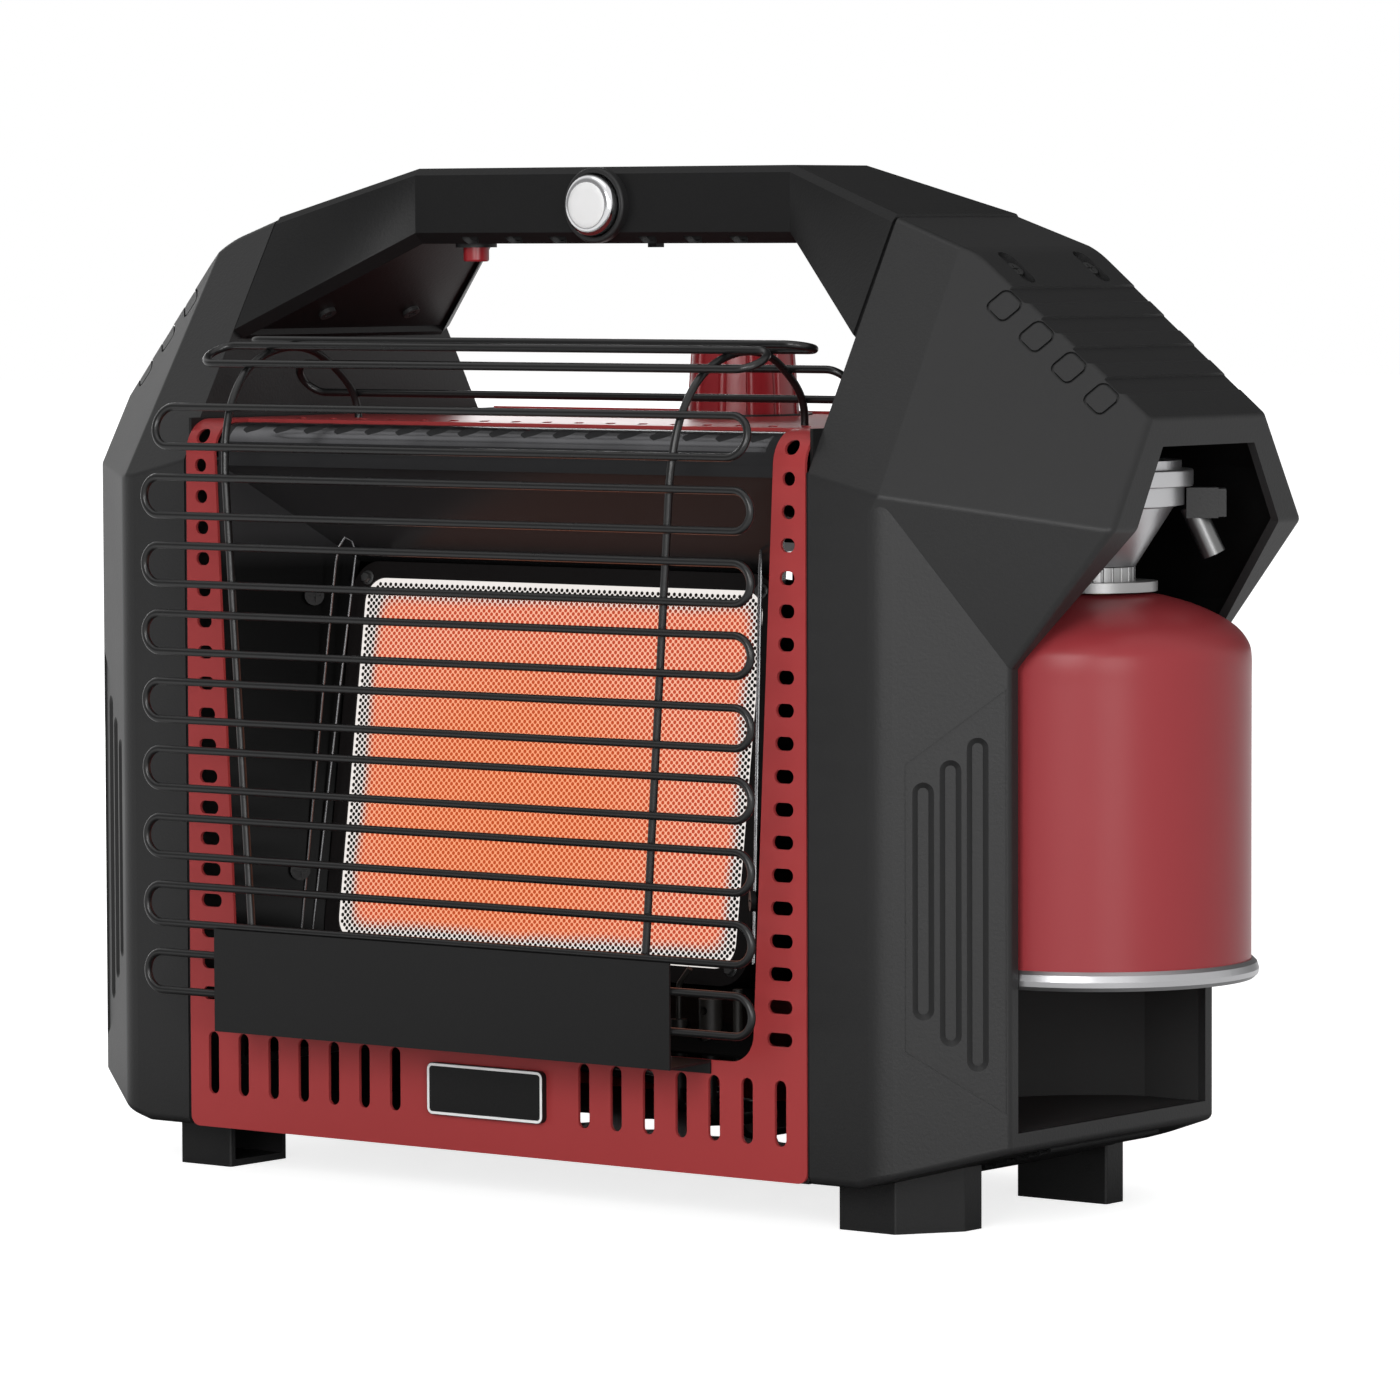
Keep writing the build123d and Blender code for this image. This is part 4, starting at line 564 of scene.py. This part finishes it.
def perforate(shape):
    """Adds the tile's front, a sheet of diamonds with a hexagonal hole in each."""
    columns = int(TILE[0] / 2 / CELL[0]) + 1
    rows = int(TILE[1] / 2 / CELL[1]) + 1
    hexagon = [(HOLE_R * cos(radians(turn)), HOLE_R * sin(radians(turn))) for turn in range(30, 390, 60)]
    corners = {}
    hole_edges = []

    def corner(i, j):
        if (i, j) not in corners:
            corners[i, j] = shape.verts.new((*pulled_in(i * CELL[0], j * CELL[1]), 0))
        return corners[i, j]

    for i in range(-columns, columns + 1):
        for j in range(-rows, rows + 1):
            around = ((i + 1, j), (i, j + 1), (i - 1, j), (i, j - 1))
            if (i + j) % 2 or all(inset_of(a * CELL[0], b * CELL[1]) < 0 for a, b in around):
                continue
            east, north, west, south = [corner(a, b) for a, b in around]
            u, v = i * CELL[0], j * CELL[1]
            if inset_of(u, v) < SOLID_RIM:
                shape.faces.new((east, north, west, south))
                continue
            hole = [shape.verts.new((u + a, v + b, 0)) for a, b in hexagon]
            for face in ((east, north, hole[1], hole[0]), (north, west, hole[2], hole[1]),
                         (west, south, hole[4], hole[3]), (south, east, hole[5], hole[4]),
                         (east, hole[0], hole[5]), (west, hole[3], hole[2])):
                shape.faces.new(face)
            hole_edges += [shape.edges.get((hole[k - 1], hole[k])) for k in range(6)]
    walls = bmesh.ops.extrude_edge_only(shape, edges=hole_edges)["geom"]
    feet = [part for part in walls if isinstance(part, bmesh.types.BMVert)]
    bmesh.ops.translate(shape, vec=Vector((0, 0, -HOLE_DEEP)), verts=feet)
    for face in {face for foot in feet for face in foot.link_faces}:
        face.material_index = 1


hot_surface = ember("hot_surface", *SURFACE_GLOW)
hot_holes = ember("hot_holes", *HOLE_GLOW)
tile_shape = bmesh.new()
hole_floor = moulding(tile_shape, *TILE, TILE_R, TILE_EDGE)
hole_floor.material_index = 1
back_inset = TILE_EDGE[0][0]
rounded_sheet(tile_shape, TILE[0] - 2 * back_inset, TILE[1] - 2 * back_inset, TILE_R - back_inset,
              -TILE_DEEP)
close_up(tile_shape)
perforate(tile_shape)
bmesh.ops.transform(tile_shape, matrix=burner_plane, verts=tile_shape.verts)
tile = add_piece("burner_tile", tile_shape, "heater", "ceramic", hot_surface, hot_holes, crease=20)
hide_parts("ceramic_plaque")


# ---- pilot group ---------------------------------------------------------------------------------
# The pilot burner, the spark electrode and the thermocouple sit on a bracket by the tile's lower right
# corner. All of them, with the pilot's pipe and the spark lead, are painted near black.
# The pilot parts are painted near black.
pilot_dark = finish("pilot_dark", (0.012, 0.011, 0.010), 0.4, vary=0.4, vary_scale=90, specular=0.2)
dress(pilot_dark, "pilot_burner", "electrode", "thermocouple", "pilot_bracket", "pilot_pipe", "igniter_lead")


# ---- front and rear panels, with the name plate --------------------------------------------------
# Two pressed steel panels with a satin red powder coat; screws hold the rear one. The name plate is a
# black plastic badge, bare inside a thin pale border.
PLATE_R = 2.5
# The border's rounded section, from outside in: (inset, height).
PLATE_BORDER = [(0.15, -0.05), (0.2, 0.15), (0.4, 0.22), (0.9, 0.22), (1.1, 0.15), (1.15, -0.05)]

red_paint = finish("red_paint", (0.355, 0.042, 0.043), 0.34, grain=0.08, vary=0.05, specular=0.2)
border_paint = finish("border_paint", (0.88, 0.88, 0.88), 0.4, vary=0.04)
dress(red_paint, "front_panel", "rear_panel")
dress(black_screw, "rear_screws")
dress(plate_black, "name_plate")
plate_low, plate_high = (Vector(corner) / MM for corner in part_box("name_plate"))
plate_size = plate_high - plate_low
plate_middle = (plate_low + plate_high) / 2
plate_face = Vector((plate_middle.x, plate_low.y, plate_middle.z))
border = bmesh.new()
bare_field = moulding(border, plate_size.x, plate_size.z, PLATE_R, PLATE_BORDER)
bmesh.ops.delete(border, geom=[bare_field], context="FACES_ONLY")
bmesh.ops.transform(border, matrix=Matrix.Translation(plate_face) @ Matrix.Rotation(pi / 2, 4, "X"),
                    verts=border.verts)
add_piece("plate_border", border, "heater", "chrome", border_paint)


# ---- wire guard ----------------------------------------------------------------------------------
# One long steel wire bent to and fro, with uprights and a lower shield of sheet steel welded on, all
# in satin black. Two screws hold it to the front panel.
black_wire = finish("black_wire", (0.008, 0.008, 0.0082), 0.28, grain=0.1, specular=0.4)
dress(black_wire, "wire_guard")
dress(plate_black, "guard_plate")
dress(black_screw, "guard_screws")


# ---- gas valve and pipes -------------------------------------------------------------------------
# A cast valve on a steel bracket, with a steel stem, plunger and spring. Copper pipes bring the gas
# from the regulator and take it to the burner.
alloy = finish("alloy", (0.40, 0.40, 0.41), 0.4, metallic=1.0, grain=0.2)
steel = finish("steel", (0.30, 0.30, 0.30), 0.36, metallic=1.0)
spring_steel = finish("spring_steel", (0.6, 0.6, 0.6), 0.25, metallic=1.0)
copper_pipe = finish("copper_pipe", (0.30, 0.16, 0.10), 0.4, metallic=1.0, vary=0.3, vary_scale=60)
dress(alloy, "gas_valve")
dress(plate_black, "valve_bracket")
dress(steel, "valve_stem", "valve_plunger")
dress(spring_steel, "valve_spring")
dress(copper_pipe, "supply_pipe", "burner_pipe")


# ---- control knob --------------------------------------------------------------------------------
# A moulded red knob, pushed on the valve's stem. It stands in a round dish of black plastic that is
# set into the top of the body.
red_plastic = finish("red_plastic", (0.30, 0.018, 0.024), 0.28, grain=0.05, vary=0.05, specular=0.4)
black_plastic = finish("black_plastic", (0.017, 0.017, 0.0173), 0.44, grain=0.3, specular=0.26)
dress(red_plastic, "control_knob")
dress(black_plastic, "knob_dish")


# ---- handle, igniter button and stud -------------------------------------------------------------
# The handle is a black moulded shell with a screwed cover. It holds the piezo igniter, whose chromed
# button has a flat pale face, and the small red spring-loaded stud under the bar.
BUTTON_FACE = [(0, -0.3), (8.2, -0.3), (8.2, 0.15), (7.9, 0.35), (6.0, 0.45), (0, 0.45)]

handle_black = finish("handle_black", (0.0085, 0.0085, 0.0087), 0.44, grain=0.3, specular=0.15)
chrome = finish("chrome", (0.72, 0.72, 0.73), 0.14, metallic=1.0)
face_paint = finish("face_paint", (0.82, 0.82, 0.82), 0.35, vary=0.03, specular=0.5)
dress(handle_black, "handle_shell", "handle_cover")
dress(black_screw, "handle_screws")
dress(black_plastic, "igniter_bezel", "piezo_body", "stud_flange")
dress(chrome, "igniter_button")
dress(spring_steel, "igniter_spring", "stud_spring")
dress(red_plastic, "stud_button")
button_low, button_high = (Vector(corner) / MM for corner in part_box("igniter_button"))
button_middle = (button_low + button_high) / 2
button_front = Vector((button_middle.x, button_low.y, button_middle.z))
button_face = bmesh.new()
turn_on_lathe(button_face, BUTTON_FACE, button_front, (0, -1, 0))
add_piece("button_face", button_face, "igniter", "silver_paint", face_paint)


# ---- end housings and cartridge bay --------------------------------------------------------------
# Two moulded black end housings, screwed on, the right one with a lined bay for the gas cartridge. A
# black strip seals each seam beside the front panel, and ribs cross the underside of the right slope.
SEAL_LOW = Vector((141.3, -88.6, 20.0))
SEAL_HIGH = Vector((142.3, -86.2, 262.0))
SEAL_CHAMFER = 0.22
SLOPE = (Vector((166.0, 0, 18.55)), Vector((203.0, 0, 29.0)))   # ends of the sloping underside
RIB_COUNT = 9
RIB_HALF = 33.0
RIB_R = 1.0
RIB_PROUD = 0.5           # how far a rib's middle stands out of the slope


def seal(shape, low, high):
    """Adds an upright strip between two corners, with its upright edges chamfered."""
    size = high - low
    block = bmesh.ops.create_cube(shape, size=1.0, matrix=Matrix.Translation((low + high) / 2)
                                  @ Matrix.Diagonal((*size, 1)))
    upright = [edge for edge in edges_at(block["verts"]) if edge.calc_length() > size.z / 2]
    bmesh.ops.bevel(shape, geom=upright, affect="EDGES", offset=SEAL_CHAMFER, segments=1, profile=0.5,
                    material=-1)


# The bay's lining is painted darker towards its top: painted shade.
bay_black_painted_shade = finish("bay_black_painted_shade", (0.03, 0.03, 0.03), 0.6, grain=0.2, specular=0.08,
                   painted_light_by_height=(0.09, 0.2, (0.002, 0.002, 0.002)))
dress(black_plastic, "left_housing", "right_housing")
dress(bay_black_painted_shade, "bay_liner")
dress(black_screw, "housing_screws")
seals = bmesh.new()
seal(seals, SEAL_LOW, SEAL_HIGH)
seal(seals, Vector((-SEAL_HIGH.x, *SEAL_LOW.yz)), Vector((-SEAL_LOW.x, *SEAL_HIGH.yz)))
add_piece("panel_seals", seals, "heater", "black_plastic", handle_black)

slope_out = Vector((SLOPE[1].z - SLOPE[0].z, 0, SLOPE[0].x - SLOPE[1].x)).normalized()
ribs = bmesh.new()
for k in range(RIB_COUNT):
    middle = SLOPE[0].lerp(SLOPE[1], k / (RIB_COUNT - 1)) + slope_out * RIB_PROUD
    rod(ribs, [middle - Vector((0, RIB_HALF, 0)), middle + Vector((0, RIB_HALF, 0))], RIB_R)
close_up(ribs)
add_piece("underside_ribs", ribs, "heater", "black_plastic", handle_black)


# ---- feet ----------------------------------------------------------------------------------------
# Four moulded feet in the same black plastic as the housings stand under the corners of the body.
# A black screw holds each of them.
dress(black_plastic, "foot_front_left", "foot_front_right", "foot_rear_left", "foot_rear_right")
dress(black_screw, "foot_screws")


# ---- pressure regulator --------------------------------------------------------------------------
# A die-cast regulator under the hood, silver-lacquered like its bracket, with a black valve block, a
# steel outlet stub and the knurled nut that clamps the cartridge.
silver_alloy = finish("silver_alloy", (0.50, 0.50, 0.51), 0.34, metallic=0.9, grain=0.25, grain_scale=1400)
outlet_metal = finish("outlet_metal", (0.17, 0.17, 0.17), 0.36, metallic=1.0, grain=0.1)
nut_metal = finish("nut_metal", (0.34, 0.34, 0.34), 0.42, metallic=0.9, grain=0.1)
dress(silver_alloy, "regulator_body", "regulator_cover", "regulator_bracket")
dress(black_plastic, "regulator_block")
dress(outlet_metal, "regulator_outlet")
dress(nut_metal, "cartridge_nut")


# ---- gas cartridge -------------------------------------------------------------------------------
# A drawn steel can in satin red lacquer, with a silver rim rolled on at its foot and a brass screw
# valve in its neck. Wall, shoulder and neck are one turned surface, hollowed below.
CAN_AT = Vector((199.7, 0, 0))
CAN_FOOT = [(0, 100), (38, 95), (50.5, 90.6), (54.2, 90.6)]
CAN_SHOULDER = [(54.2, 190.0), (54.2, 197.0), (53.2, 201.8), (49.6, 206.7), (44.0, 210.6), (35.5, 214.6),
                (27.0, 217.3), (20.5, 218.8), (17.5, 219.3)]
CAN_NECK = [(16.8, 218.6), (16.0, 217.0), (5.5, 217.0), (5.5, 214.0), (0, 214.0)]
SHOULDER_STEPS = 6        # points of the drawn curve for each one given


def drawn(points, steps):
    """Points along a smooth curve through the given ones."""
    ends = [points[0], *points, points[-1]]
    curve = []
    for a, b, c, d in zip(ends, ends[1:], ends[2:], ends[3:]):
        for k in range(steps):
            t = k / steps
            spot = []
            for p, q, r, s in zip(a, b, c, d):
                bend = (2 * p - 5 * q + 4 * r - s) * t ** 2 + (3 * q - p - 3 * r + s) * t ** 3
                spot.append(0.5 * (2 * q + (r - p) * t + bend))
            curve.append(spot)
    return curve + [points[-1]]


silver_paint = finish("silver_paint", (0.42, 0.42, 0.43), 0.32, metallic=0.9, grain=0.03)
can_paint = finish("can_paint", (0.30, 0.036, 0.042), 0.34, grain=0.05, vary=0.04, specular=0.25)
dress(silver_paint, "cartridge_rim")
dress(brass, "cartridge_valve")
can_shape = bmesh.new()
turn_on_lathe(can_shape, CAN_FOOT + drawn(CAN_SHOULDER, SHOULDER_STEPS) + CAN_NECK, CAN_AT, (0, 0, 1), 128)
can = add_piece("painted_can", can_shape, "cartridge", "can_paint", can_paint)
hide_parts("cartridge_body")


bpy.context.scene.view_settings.view_transform = "Standard"
